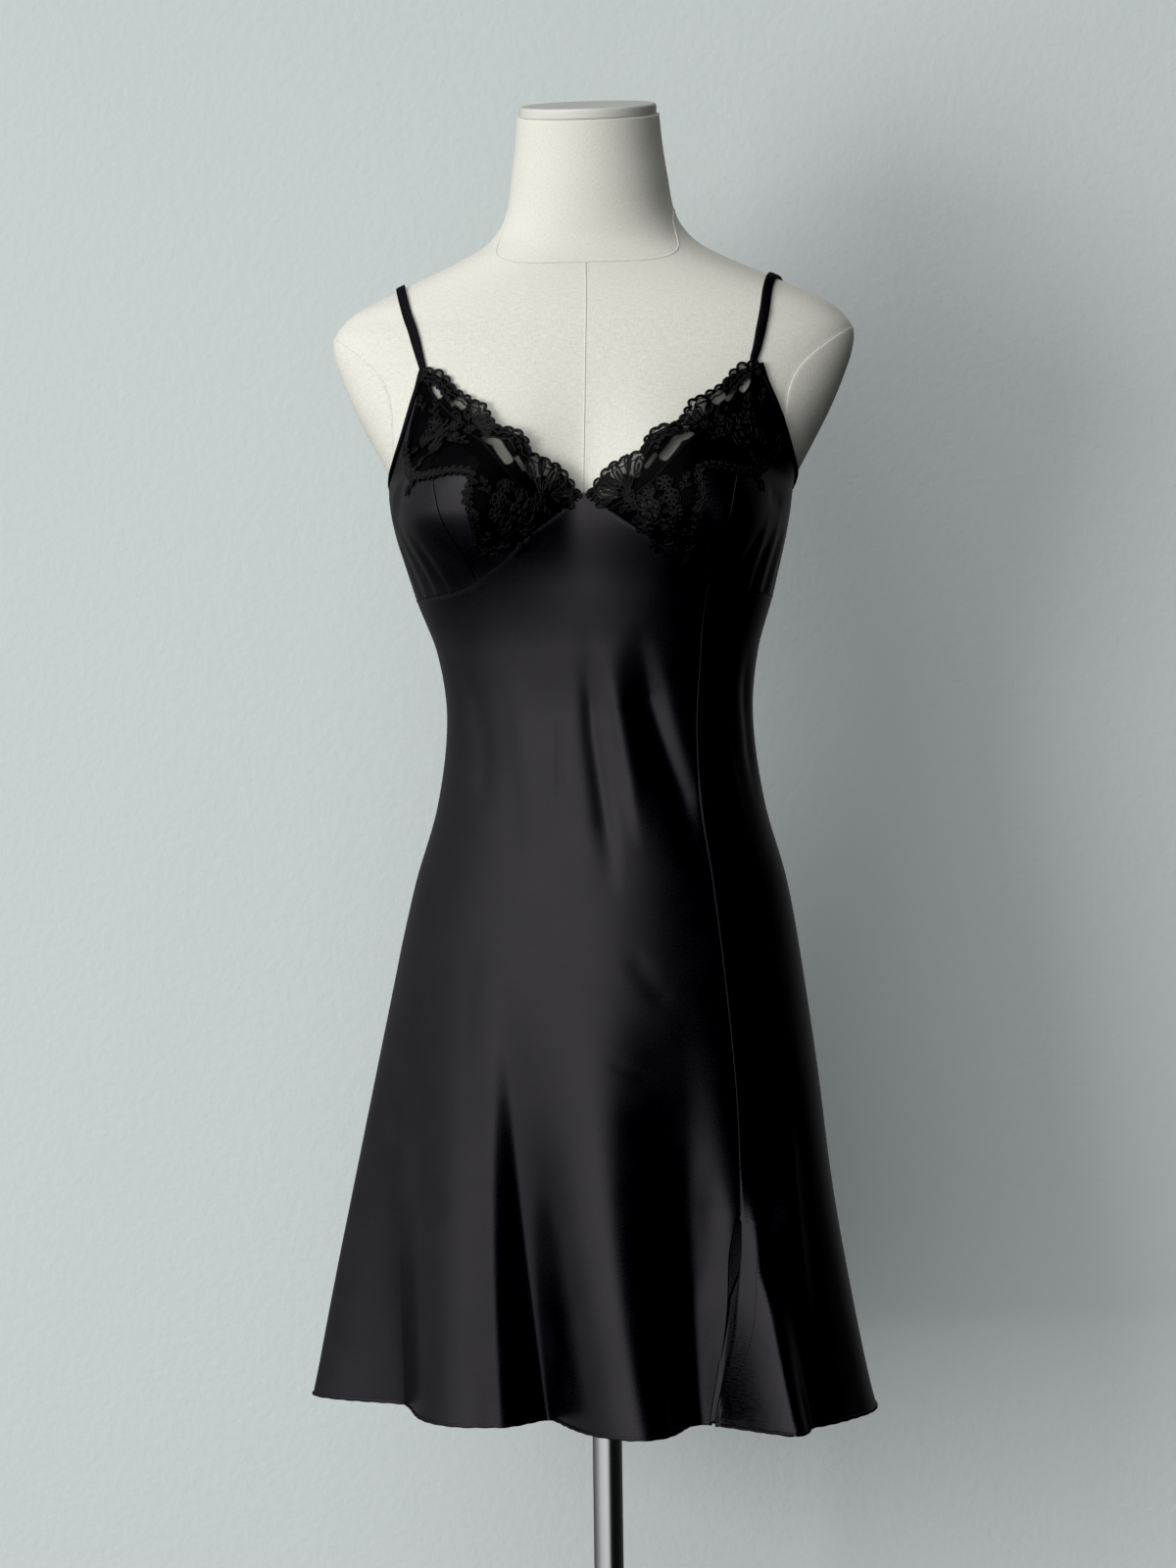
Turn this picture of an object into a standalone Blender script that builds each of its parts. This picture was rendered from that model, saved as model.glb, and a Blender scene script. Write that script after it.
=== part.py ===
"""A satin slip dress with lace cups, worn on a linen-covered dress form on a steel stand.

Metres, +Z up. The origin is on the floor, under the middle of the pole. The dress faces -Y,
so +X is the wearer's left. An azimuth is in degrees around +Z, 0 at the front and 90 at +X.

Every piece of cloth lies on one surface, cloth_point(), which is a stack of rings with a bust
and folds added. A piece is a patch of that surface, given a wall thickness.
"""

import math
from bisect import bisect_right
from collections.abc import Callable, Sequence
from typing import NamedTuple, TypeVar

import bmesh
import bpy
from mathutils import Vector

Row = TypeVar("Row", bound=tuple)

# Cloth: wall thicknesses and the gaps between pieces
SATIN = 0.0012
LACE = 0.0010
BINDING = 0.0018
STRAP = 0.0014
FACING = 0.0010
FACING_GAP = 0.0004
SEAM_GAP = 0.0004
LACE_LIFT = SATIN + 0.0015
FORM_CLEARANCE = 0.0015
TOUCH_BLEND = 0.0020
TOUCHES_ABOVE = 1.15

# Dress: heights and widths
HEM = 0.553
SLIT_TOP = 0.702
SIDE_SEAM = 95.0
BINDING_WIDTH = 0.0030
STRAP_WIDTH = 0.0070
STRAP_SEAT = 0.0009
STRAP_RISE = 0.0018  # at the rear end, where the strap goes in behind the back panel
PANEL_ROWS = 22
SLIT_CROWDING = 1.4

# Form and stand
FORM_BOTTOM = 0.800
CHEST = 1.150
SHOULDER = 1.316
GAP = 0.0003
PLATE = 0.006
PLATE_INSET = 0.96
NECK_CAP_RADIUS = 0.052
NECK_CAP_THICKNESS = 0.008
NECK_TILT = 14.0
ARM_CENTRE = (0.005, 1.297)
ARM_HALF_DEPTH = 0.056
ARM_HALF_HEIGHT = 0.067
ARM_INNER_X = 0.118
POLE_RADIUS = 0.0112
COLLAR_RADIUS = 0.034
COLLAR_HEIGHT = 0.030
BASE_RADIUS = 0.185
BASE_EDGE = 0.006
HUB_RADIUS = 0.022
HUB_HEIGHT = 0.040
HUB_FLOOR = 0.004


class Ring(NamedTuple):
    """A level section: half width, depth to the front and back, and superellipse exponent."""

    height: float
    half_width: float
    front: float
    back: float
    roundness: float
    centre_x: float = 0.0


class NeckRing(NamedTuple):
    """A round section of the neck, moved along Y and tipped forward."""

    height: float
    half_width: float
    half_depth: float
    centre_y: float
    tilt: float


class Bust(NamedTuple):
    """Two soft mounds: how far they stand out, where, and how far they reach."""

    rise: float
    azimuth: float
    height: float
    spread: float
    reach_up: float
    reach_down: float


class Fold(NamedTuple):
    """A crest or valley line that grows from its top to the hem; the cloth waves between them."""

    azimuth_hem: float
    azimuth_top: float
    offset_hem: float
    top: float


class Finish(NamedTuple):
    """The colour (linear), roughness and metallic value of a piece."""

    colour: tuple[float, float, float]
    roughness: float
    metallic: float = 0.0


CLOTH_RINGS = (
    Ring(0.540, 0.2080, 0.1540, 0.1600, 2.00, -0.0150),
    Ring(0.573, 0.2015, 0.1500, 0.1550, 2.00, -0.0150),
    Ring(0.650, 0.1890, 0.1430, 0.1480, 2.00, -0.0130),
    Ring(0.720, 0.1780, 0.1360, 0.1420, 2.00, -0.0100),
    Ring(0.800, 0.1665, 0.1280, 0.1360, 2.00, -0.0050),
    Ring(0.871, 0.1545, 0.1200, 0.1300, 2.00, -0.0015),
    Ring(0.945, 0.1400, 0.1080, 0.1180, 2.05, 0.0010),
    Ring(1.005, 0.1230, 0.0960, 0.1000, 2.10, 0.0020),
    Ring(1.070, 0.1150, 0.0880, 0.0880, 2.10, 0.0020),
    Ring(1.120, 0.1205, 0.0920, 0.0885, 2.10, 0.0010),
    Ring(1.165, 0.1350, 0.0980, 0.0920, 2.15, -0.0010),
    Ring(1.235, 0.1505, 0.1000, 0.1000, 2.20, -0.0025),
    Ring(1.280, 0.1480, 0.0880, 0.0960, 2.25, -0.0010),
    Ring(1.340, 0.1500, 0.0740, 0.0900, 2.30, 0.0000),
)

FORM_RINGS = (
    Ring(FORM_BOTTOM, 0.1440, 0.1000, 0.1100, 2.00),
    Ring(0.850, 0.1460, 0.1040, 0.1160, 2.00),
    Ring(0.900, 0.1420, 0.1040, 0.1180, 2.00),
    Ring(0.945, 0.1330, 0.1000, 0.1120, 2.05),
    Ring(1.005, 0.1160, 0.0910, 0.0950, 2.10),
    Ring(1.070, 0.1085, 0.0835, 0.0835, 2.10),
    Ring(1.120, 0.1145, 0.0870, 0.0840, 2.10),
    Ring(1.165, 0.1285, 0.0915, 0.0870, 2.15),
    Ring(1.235, 0.1430, 0.0920, 0.0950, 2.20),
    Ring(1.259, 0.1560, 0.0890, 0.0950, 2.25),
    Ring(1.302, 0.1790, 0.0780, 0.0950, 2.30),
    Ring(1.330, 0.1910, 0.0700, 0.0900, 2.25),
    Ring(1.347, 0.1965, 0.0650, 0.0860, 2.20),
    Ring(1.361, 0.1975, 0.0600, 0.0810, 2.10),
    Ring(1.370, 0.1930, 0.0565, 0.0775, 2.00),
    Ring(1.381, 0.1810, 0.0540, 0.0740, 2.00),
    Ring(1.3925, 0.1580, 0.0525, 0.0710, 2.00),
    Ring(1.404, 0.1330, 0.0525, 0.0690, 2.00),
    Ring(1.416, 0.1060, 0.0530, 0.0670, 2.00),
)

NECK_RINGS = (
    NeckRing(1.429, 0.0830, 0.0585, 0.0060, 0.0),
    NeckRing(1.443, 0.0695, 0.0560, 0.0020, 2.0),
    NeckRing(1.458, 0.0630, 0.0545, -0.0015, 4.0),
    NeckRing(1.478, 0.0597, 0.0535, -0.0050, 7.0),
    NeckRing(1.502, 0.0562, 0.0525, -0.0085, 11.0),
    NeckRing(1.526, 0.0540, 0.0520, -0.0120, NECK_TILT),
)

CLOTH_BUST = Bust(0.046, 38.0, 1.222, 25.0, 0.060, 0.042)
FORM_BUST = CLOTH_BUST._replace(rise=0.036)

SHARED_FOLDS = (
    Fold(-97, -95, 0.010, 0.93),
    Fold(-80, -66, -0.066, 0.90),
    Fold(-36, -44, -0.0225, 0.92),
    Fold(-25, -34, -0.029, 0.88),
    Fold(-14.5, -28, -0.066, 0.88),
    Fold(18, 2, 0.022, 0.86),
    Fold(100, 100, 0.004, 0.90),
    Fold(118, 116, -0.016, 0.90),
    Fold(138, 138, 0.010, 0.90),
    Fold(160, 158, -0.014, 0.88),
    Fold(180, 180, 0.008, 0.88),
    Fold(200, 200, -0.014, 0.90),
    Fold(221, 220, 0.010, 0.88),
    Fold(242, 242, -0.018, 0.90),
)
FRONT_FOLDS = SHARED_FOLDS + (Fold(41, 30, -0.030, 0.88), Fold(52, 46, 0.0, 0.88))
SIDE_FOLDS = SHARED_FOLDS + (
    Fold(43.2, 47, -0.018, 0.72),
    Fold(47, 53, 0.048, 0.74),
    Fold(57, 62, 0.026, 0.80),
    Fold(72, 74, 0.022, 0.85),
)


class Mark(NamedTuple):
    """A point of a seam or edge on the cloth: its place along the edge, azimuth and height."""

    along: float
    azimuth: float
    height: float


# Seams and edges, for the wearer's left; the other side mirrors the azimuths
UNDERBUST = (
    Mark(0, 0, 1.2300),
    Mark(5, 5, 1.2225),
    Mark(10, 10, 1.2155),
    Mark(20, 20, 1.1975),
    Mark(27, 27, 1.1850),
    Mark(34, 34, 1.1755),
    Mark(42, 42, 1.1675),
    Mark(50, 50, 1.1635),
    Mark(60, 60, 1.1615),
    Mark(75, 75, 1.1600),
    Mark(SIDE_SEAM, SIDE_SEAM, 1.1600),
)
PRINCESS_SEAM = (
    Mark(HEM, 44.3, HEM),
    Mark(0.621, 45.5, 0.621),
    Mark(0.686, 45.6, 0.686),
    Mark(SLIT_TOP, 48.9, SLIT_TOP),
    Mark(0.780, 49.0, 0.780),
    Mark(0.876, 47.4, 0.876),
    Mark(0.953, 46.3, 0.953),
    Mark(1.020, 46.7, 1.020),
    Mark(1.082, 49.0, 1.082),
    Mark(1.115, 49.4, 1.115),
    Mark(1.170, 47.3, 1.170),
)
SLIT_BACK_EDGE = (
    Mark(HEM, 42.8, HEM),
    Mark(0.600, 45.2, 0.600),
    Mark(0.645, 47.3, 0.645),
    Mark(SLIT_TOP, 48.9, SLIT_TOP),
)
CUP_ROWS = 15
CUP_TOP_ROW = 4
ARMHOLE_ROWS = 10
ARMHOLE_END = ARMHOLE_ROWS / CUP_ROWS
NECKLINE_TOP = Mark(0.00, 62.9, 1.3290)
CUP_TOP = Mark(CUP_TOP_ROW / CUP_ROWS, 58.6, 1.3060)
OUTER_CUP_INNER_EDGE = (
    NECKLINE_TOP,
    Mark(0.10, 62.2, 1.3180),
    Mark(0.17, 60.8, 1.3105),
    CUP_TOP,
    Mark(0.38, 55.2, 1.2850),
    Mark(0.50, 50.6, 1.2645),
    Mark(0.62, 44.2, 1.2430),
    Mark(0.73, 40.6, 1.2245),
    Mark(0.87, 38.8, 1.2000),
    Mark(1.00, 39.6, 1.1675),
)
ARMHOLE = (
    Mark(0.00, 65.2, 1.3290),
    Mark(0.14, 65.0, 1.3100),
    Mark(0.28, 67.0, 1.2860),
    Mark(0.38, 70.0, 1.2700),
    Mark(0.47, 75.0, 1.2570),
    Mark(0.57, 84.0, 1.2480),
    Mark(ARMHOLE_END, SIDE_SEAM, 1.2430),
)
BACK_NECK = (
    Mark(SIDE_SEAM, SIDE_SEAM, 1.2430),
    Mark(110, 110, 1.2395),
    Mark(140, 140, 1.2350),
    Mark(180, 180, 1.2320),
)
INNER_CUP_NECKLINE = (
    Mark(0.00, 56.4, 1.3030),
    Mark(0.10, 52.3, 1.2965),
    Mark(0.32, 37.5, 1.2740),
    Mark(0.52, 27.6, 1.2530),
    Mark(0.68, 20.2, 1.2420),
    Mark(0.85, 11.8, 1.2310),
    Mark(1.00, 4.6, 1.2232),
)


class LaceSection(NamedTuple):
    """One line across the lace, from its scalloped edge to its vine edge on the satin."""

    along: float
    edge_azimuth: float
    edge_height: float
    vine_azimuth: float
    vine_height: float


LACE_SECTIONS = (
    LaceSection(0, 62.5, 1.3270, 64.2, 1.3225),
    LaceSection(1, 56.0, 1.3210, 63.4, 1.3080),
    LaceSection(2, 51.0, 1.3090, 64.6, 1.2830),
    LaceSection(3, 44.5, 1.3025, 62.5, 1.2640),
    LaceSection(4, 37.0, 1.2880, 54.0, 1.2410),
    LaceSection(5, 31.0, 1.2820, 44.0, 1.2450),
    LaceSection(6, 23.5, 1.2700, 35.0, 1.2420),
    LaceSection(7, 17.5, 1.2580, 32.5, 1.2150),
    LaceSection(8, 11.5, 1.2520, 34.5, 1.1895),
    LaceSection(9, 6.0, 1.2405, 27.0, 1.1925),
    LaceSection(10, 2.8, 1.2315, 20.5, 1.2000),
)
SCALLOPS = 11
SCALLOP_DEPTH = 0.0025


class StrapMark(NamedTuple):
    """The straps at an angle over the shoulder, 0 straight up: half the space between them,
    and how far the pair lies to one side."""

    angle: float
    apart: float
    shift: float


SHOULDER_CENTRE = (0.010, 1.290)
STRAP_ROUTE = (
    StrapMark(-59.5, 0.1225, 0.0),
    StrapMark(-40, 0.1290, -0.0010),
    StrapMark(-20, 0.1370, -0.0040),
    StrapMark(0, 0.1440, -0.0020),
    StrapMark(20, 0.1455, -0.0015),
    StrapMark(45, 0.1400, -0.0010),
    StrapMark(75, 0.1200, -0.0010),
    StrapMark(100, 0.0960, -0.0010),
    StrapMark(121.5, 0.0800, 0.0),
    StrapMark(129.0, 0.0755, 0.0),
)

FINISHES = {
    "satin": Finish((0.012, 0.012, 0.015), 0.38),
    "lace": Finish((0.008, 0.008, 0.009), 0.70),
    "linen": Finish((0.68, 0.64, 0.57), 0.85),
    "paint": Finish((0.80, 0.79, 0.76), 0.45),
    "chrome": Finish((0.60, 0.60, 0.62), 0.12, 1.0),
    "steel": Finish((0.42, 0.42, 0.44), 0.30, 1.0),
}


def smooth_row(table: Sequence[Row], key: float) -> Row:
    """A row between the table's rows, on a smooth curve through each column."""
    keys = [row[0] for row in table]
    key = min(max(key, keys[0]), keys[-1])
    low = min(max(bisect_right(keys, key) - 1, 0), len(keys) - 2)
    start, end = table[low], table[low + 1]
    before, after = table[max(low - 1, 0)], table[min(low + 2, len(keys) - 1)]
    step = end[0] - start[0]
    t = (key - start[0]) / step
    values = [key]
    for column in range(1, len(start)):
        slope_start = (end[column] - before[column]) / (end[0] - before[0]) * step
        slope_end = (after[column] - start[column]) / (after[0] - start[0]) * step
        values.append(
            (2 * t**3 - 3 * t**2 + 1) * start[column]
            + (t**3 - 2 * t**2 + t) * slope_start
            + (3 * t**2 - 2 * t**3) * end[column]
            + (t**3 - t**2) * slope_end
        )
    return type(start)(*values)


def ring_radius(azimuth: float, ring: Ring) -> float:
    """How far the ring lies from its centre in the direction of the azimuth."""
    across = abs(math.sin(math.radians(azimuth)))
    ahead = math.cos(math.radians(azimuth))
    depth = ring.front if ahead >= 0 else ring.back
    power = ring.roundness
    return ((across / ring.half_width) ** power + (abs(ahead) / depth) ** power) ** (-1 / power)


def turn_between(a: float, b: float) -> float:
    """The size of the turn between two azimuths, at most 180."""
    return abs((a - b + 180) % 360 - 180)


def bust_rise(azimuth: float, height: float, bust: Bust) -> float:
    aside = min(turn_between(azimuth, bust.azimuth), turn_between(azimuth, -bust.azimuth))
    up = (height - bust.height) / (bust.reach_up if height > bust.height else bust.reach_down)
    return bust.rise * math.exp(-((aside / bust.spread) ** 2) - up * up)


def fold_offset(azimuth: float, height: float, folds: Sequence[Fold]) -> float:
    """How far the folds move the cloth out (+) or in (-) of its ring."""
    lines = []
    for fold in folds:
        t = min(max((height - HEM) / (fold.top - HEM), 0.0), 1.0)
        turned = fold.azimuth_hem + (fold.azimuth_top - fold.azimuth_hem) * t
        lines.append((turned, fold.offset_hem * (1 - t) ** 1.3))
    lines.sort()
    azimuth = (azimuth - lines[0][0]) % 360 + lines[0][0]
    lines.append((lines[0][0] + 360, lines[0][1]))
    after = next(i for i in range(1, len(lines)) if azimuth <= lines[i][0])
    (start, offset_start), (end, offset_end) = lines[after - 1], lines[after]
    share = 0.5 - 0.5 * math.cos(math.pi * (azimuth - start) / (end - start))
    return offset_start + (offset_end - offset_start) * share


def form_radius(azimuth: float, height: float) -> float:
    return ring_radius(azimuth, smooth_row(FORM_RINGS, height)) + bust_rise(
        azimuth, height, FORM_BUST
    )


def cloth_point(azimuth: float, height: float, folds: Sequence[Fold] = FRONT_FOLDS) -> Vector:
    """The inner face of the cloth; above the underbust it rests on the form where it meets it."""
    ring = smooth_row(CLOTH_RINGS, height)
    radius = ring_radius(azimuth, ring) + bust_rise(azimuth, height, CLOTH_BUST)
    radius += fold_offset(azimuth, height, folds)
    turn = math.radians(azimuth)
    if height > TOUCHES_ABOVE:
        resting = form_radius(azimuth, height) + FORM_CLEARANCE - ring.centre_x * math.sin(turn)
        radius = (radius + resting + math.hypot(radius - resting, TOUCH_BLEND)) / 2
    return Vector((ring.centre_x + radius * math.sin(turn), -radius * math.cos(turn), height))


def cloth_normal(azimuth: float, height: float, folds: Sequence[Fold]) -> Vector:
    """The outward direction of the cloth, from its points half a degree and a millimetre away."""
    along = cloth_point(azimuth + 0.5, height, folds) - cloth_point(azimuth - 0.5, height, folds)
    up = cloth_point(azimuth, height + 0.001, folds) - cloth_point(azimuth, height - 0.001, folds)
    return along.cross(up).normalized()


def make_object(
    name: str, points: Sequence[Vector], faces: Sequence[Sequence[int]], finish: str
) -> bpy.types.Object:
    """A mesh object in world coordinates, with a material of its own."""
    mesh = bpy.data.meshes.new(name)
    mesh.from_pydata([tuple(point) for point in points], [], [tuple(face) for face in faces])
    mesh.validate()
    bm = bmesh.new()
    bm.from_mesh(mesh)
    bmesh.ops.recalc_face_normals(bm, faces=bm.faces)
    bm.to_mesh(mesh)
    bm.free()
    mesh.shade_smooth()
    mesh.set_sharp_from_angle(angle=math.radians(40))
    mesh.materials.append(make_material(name, FINISHES[finish]))
    obj = bpy.data.objects.new(name, mesh)
    bpy.context.scene.collection.objects.link(obj)
    return obj


def make_material(name: str, finish: Finish) -> bpy.types.Material:
    material = bpy.data.materials.new(f"{name}_finish")
    material.use_nodes = True
    shader = material.node_tree.nodes["Principled BSDF"]
    shader.inputs["Base Color"].default_value = (*finish.colour, 1.0)
    shader.inputs["Roughness"].default_value = finish.roughness
    shader.inputs["Metallic"].default_value = finish.metallic
    return material


def make_wall(
    name: str, inner: Sequence[Sequence[Vector]], outer: Sequence[Sequence[Vector]], finish: str
) -> bpy.types.Object:
    """A closed wall between two grids of points, its quads all split along the same diagonal."""
    rows, columns = len(inner), len(inner[0])
    points = [point for grid in (inner, outer) for row in grid for point in row]
    half = rows * columns

    def quad(a: int, b: int, c: int, d: int) -> list[tuple[int, int, int]]:
        return [(a, b, c), (a, c, d)]

    faces = []
    for row in range(rows - 1):
        for column in range(columns - 1):
            a = row * columns + column
            b, c, d = a + 1, a + columns + 1, a + columns
            faces += [(a, c, b), (a, d, c)]
            faces += quad(a + half, b + half, c + half, d + half)
    rim = [(0, column) for column in range(columns)]
    rim += [(row, columns - 1) for row in range(1, rows)]
    rim += [(rows - 1, column) for column in range(columns - 2, -1, -1)]
    rim += [(row, 0) for row in range(rows - 2, 0, -1)]
    for (row_a, column_a), (row_b, column_b) in zip(rim, rim[1:] + rim[:1], strict=True):
        a, b = row_a * columns + column_a, row_b * columns + column_b
        faces += quad(a, b, b + half, a + half)
    return make_object(name, points, faces, finish)


Chart = Sequence[Sequence[tuple[float, float]]]


def cloth_wall(
    name: str,
    chart: Chart,
    folds: Sequence[Fold] = FRONT_FOLDS,
    thickness: float = SATIN,
    lift: float = 0.0,
    finish: str = "satin",
) -> bpy.types.Object:
    """A piece of cloth over a chart: rows of (azimuth, height) points."""
    inner, outer = [], []
    for row in chart:
        on_cloth = [(cloth_point(*spot, folds), cloth_normal(*spot, folds)) for spot in row]
        inner.append([point + normal * lift for point, normal in on_cloth])
        outer.append([point + normal * (lift + thickness) for point, normal in on_cloth])
    return make_wall(name, inner, outer, finish)


def edge_at(edge: Sequence[Mark], along: float) -> tuple[float, float]:
    mark = smooth_row(edge, along)
    return mark.azimuth, mark.height


def underbust(azimuth: float) -> float:
    return edge_at(UNDERBUST, abs(azimuth))[1]


def sideways(distance: float, azimuth: float, height: float) -> float:
    """The azimuth step that covers a distance across the cloth."""
    point = cloth_point(azimuth, height)
    return math.degrees(distance / math.hypot(point.x, point.y))


def steps(count: int) -> list[float]:
    return [index / count for index in range(count + 1)]


def panel_chart(
    left: Callable[[float], float],
    right: Callable[[float], float],
    top: Callable[[float], float],
    columns: int,
    rows: int,
    crowding: float = 1.0,
) -> Chart:
    """Rows from the hem up to the top edge, between two seams given as azimuth at a height.

    A crowding above 1 draws the columns towards the left seam.
    """
    chart = []
    for v in steps(rows):
        row = []
        for u in [share**crowding for share in steps(columns)]:
            height = 1.0
            azimuth = 0.0
            for _ in range(4):
                azimuth = left(height) + (right(height) - left(height)) * u
                height = HEM + (top(azimuth) - HEM) * v
            row.append((azimuth, height))
        chart.append(row)
    return chart


def make_front_panel() -> None:
    def seam(height: float) -> float:
        azimuth = edge_at(PRINCESS_SEAM, height)[0]
        return azimuth - sideways(SEAM_GAP / 2, azimuth, height)

    chart = panel_chart(
        lambda height: -SIDE_SEAM + sideways(SEAM_GAP / 2, SIDE_SEAM, height),
        seam,
        lambda azimuth: underbust(azimuth) - SEAM_GAP / 2,
        32,
        PANEL_ROWS,
    )
    cloth_wall("front_panel", chart)


def side_panel_chart() -> Chart:
    def seam(height: float) -> float:
        edge = PRINCESS_SEAM if height >= SLIT_TOP else SLIT_BACK_EDGE
        azimuth = edge_at(edge, height)[0]
        return azimuth + sideways(SEAM_GAP / 2, azimuth, height)

    return panel_chart(
        seam,
        lambda height: SIDE_SEAM - sideways(SEAM_GAP / 2, SIDE_SEAM, height),
        lambda azimuth: underbust(azimuth) - SEAM_GAP / 2,
        14,
        PANEL_ROWS,
        SLIT_CROWDING,
    )


def make_side_panel() -> None:
    """The panel, and the turned-back facing of its slit edge, one column wide, inside it."""
    chart = side_panel_chart()
    cloth_wall("side_panel", chart, SIDE_FOLDS)
    facing = [row[:2] for row in chart if row[0][1] < SLIT_TOP]
    cloth_wall("slit_facing", facing, SIDE_FOLDS, FACING, -FACING - FACING_GAP)


def back_top(azimuth: float) -> float:
    return edge_at(BACK_NECK, turn_between(azimuth, 0))[1]


def make_back_panel() -> None:
    chart = panel_chart(
        lambda height: SIDE_SEAM + sideways(SEAM_GAP / 2, SIDE_SEAM, height),
        lambda height: 360 - SIDE_SEAM - sideways(SEAM_GAP / 2, SIDE_SEAM, height),
        back_top,
        26,
        15,
    )
    cloth_wall("back_panel", chart, SIDE_FOLDS)


def edge_direction(edge: Sequence[Mark], along: float) -> tuple[float, float]:
    """The unit direction of an edge in millimetres across and up."""
    ahead, behind = edge_at(edge, along + 0.01), edge_at(edge, along - 0.01)
    middle = edge_at(edge, along)
    across = (ahead[0] - behind[0]) / sideways(1.0, *middle)
    up = ahead[1] - behind[1]
    length = math.hypot(across, up)
    return across / length, up / length


def moved_edge(edge: Sequence[Mark], along: float, distance: float) -> tuple[float, float]:
    """A point beside an edge, a distance to the right of its direction seen from outside."""
    azimuth, height = edge_at(edge, along)
    across, up = edge_direction(edge, along)
    return azimuth + sideways(1.0, azimuth, height) * up * distance, height - across * distance


def coons(
    left: Callable[[float], tuple[float, float]],
    right: Callable[[float], tuple[float, float]],
    bottom: Callable[[float], tuple[float, float]],
    columns: int,
    rows: int,
) -> Chart:
    """A patch between two edges that run down, a straight top and a curved bottom."""
    chart = []
    low_left, low_right = left(1.0), right(1.0)
    for v in steps(rows):
        row = []
        for u in steps(columns):
            spot = []
            for axis in (0, 1):
                across = left(v)[axis] * (1 - u) + right(v)[axis] * u
                straight = low_left[axis] * (1 - u) + low_right[axis] * u
                spot.append(across + v * (bottom(u)[axis] - straight))
            row.append(tuple(spot))
        chart.append(row)
    return chart


def mirrored(chart: Chart) -> Chart:
    return [[(-azimuth, height) for azimuth, height in reversed(row)] for row in chart]


def over_underbust(start: float, end: float) -> Callable[[float], tuple[float, float]]:
    def bottom(u: float) -> tuple[float, float]:
        azimuth = start + (end - start) * u
        return azimuth, underbust(azimuth) + SEAM_GAP / 2

    return bottom


def outer_cup_chart() -> Chart:
    """From the cup seam out to the armhole and the side seam."""
    side = SIDE_SEAM - sideways(SEAM_GAP / 2, SIDE_SEAM, 1.2)

    def inner_edge(v: float) -> tuple[float, float]:
        azimuth, height = edge_at(OUTER_CUP_INNER_EDGE, v)
        return azimuth + sideways(SEAM_GAP / 2, azimuth, height), height

    def outer_edge(v: float) -> tuple[float, float]:
        if v <= ARMHOLE_END:
            azimuth, height = moved_edge(ARMHOLE, v, BINDING_WIDTH + SEAM_GAP)
            return min(azimuth, side), height
        start = moved_edge(ARMHOLE, ARMHOLE_END, BINDING_WIDTH + SEAM_GAP)[1]
        share = (v - ARMHOLE_END) / (1 - ARMHOLE_END)
        return side, start + (underbust(side) + SEAM_GAP / 2 - start) * share

    inner_end = inner_edge(1.0)[0]
    return coons(inner_edge, outer_edge, over_underbust(inner_end, side), 7, CUP_ROWS)


def inner_cup_chart() -> Chart:
    """From the neckline out to the cup seam."""
    top = CUP_TOP.along

    def seam(v: float) -> tuple[float, float]:
        azimuth, height = edge_at(OUTER_CUP_INNER_EDGE, top + (1 - top) * v)
        return azimuth - sideways(SEAM_GAP / 2, azimuth, height), height

    def neckline(v: float) -> tuple[float, float]:
        return edge_at(INNER_CUP_NECKLINE, v)

    bottom = over_underbust(neckline(1.0)[0], seam(1.0)[0])
    return coons(neckline, seam, bottom, 7, CUP_ROWS - CUP_TOP_ROW)


def lace_chart() -> Chart:
    """From the scalloped edge to the vine edge; its rows run along the neckline."""
    count, across = 2 * SCALLOPS, 7
    rows = []
    for share in steps(count):
        row = smooth_row(LACE_SECTIONS, share * LACE_SECTIONS[-1].along)
        bulge = SCALLOP_DEPTH * abs(math.sin(math.pi * SCALLOPS * share))
        edge = (
            row.edge_azimuth - sideways(bulge * 0.5, row.edge_azimuth, row.edge_height),
            row.edge_height + bulge * 0.8,
        )
        vine = (row.vine_azimuth, row.vine_height)
        rows.append([tuple(a + (b - a) * u for a, b in zip(edge, vine)) for u in steps(across)])
    return [list(column) for column in zip(*rows, strict=True)]


def binding_chart() -> Chart:
    """A narrow strip along the armhole, from the strap to the side seam."""
    return [
        [moved_edge(ARMHOLE, share * ARMHOLE_END, offset) for share in steps(ARMHOLE_ROWS)]
        for offset in (BINDING_WIDTH, 0.0)
    ]


def make_sided_cloth() -> None:
    """The cups, lace and bindings, one of each a side."""
    pieces = (
        ("cup_outer", outer_cup_chart(), {}),
        ("cup_inner", inner_cup_chart(), {}),
        ("lace", lace_chart(), {"thickness": LACE, "lift": LACE_LIFT, "finish": "lace"}),
        ("armhole_binding", binding_chart(), {"thickness": BINDING}),
    )
    for name, chart, options in pieces:
        cloth_wall(f"{name}_left", chart, **options)
        cloth_wall(f"{name}_right", mirrored(chart), **options)


def form_level(x: float, y: float, z: float) -> float:
    """Below 1 inside the torso's shoulders and chest, above 1 outside them."""
    if z > FORM_RINGS[-1].height:
        return 2.0
    return math.hypot(x, y) / form_radius(math.degrees(math.atan2(x, -y)), z)


def shoulder_point(x: float, angle: float) -> Vector:
    """Where a ray in the plane of x meets the torso, at an angle from straight up to the back."""
    centre_y, centre_z = SHOULDER_CENTRE
    turn = math.radians(angle)
    near, far = 0.02, 0.16
    for _ in range(40):
        middle = (near + far) / 2
        y, z = centre_y + middle * math.sin(turn), centre_z + middle * math.cos(turn)
        near, far = (middle, far) if form_level(x, y, z) < 1 else (near, middle)
    return Vector((x, centre_y + near * math.sin(turn), centre_z + near * math.cos(turn)))


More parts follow.
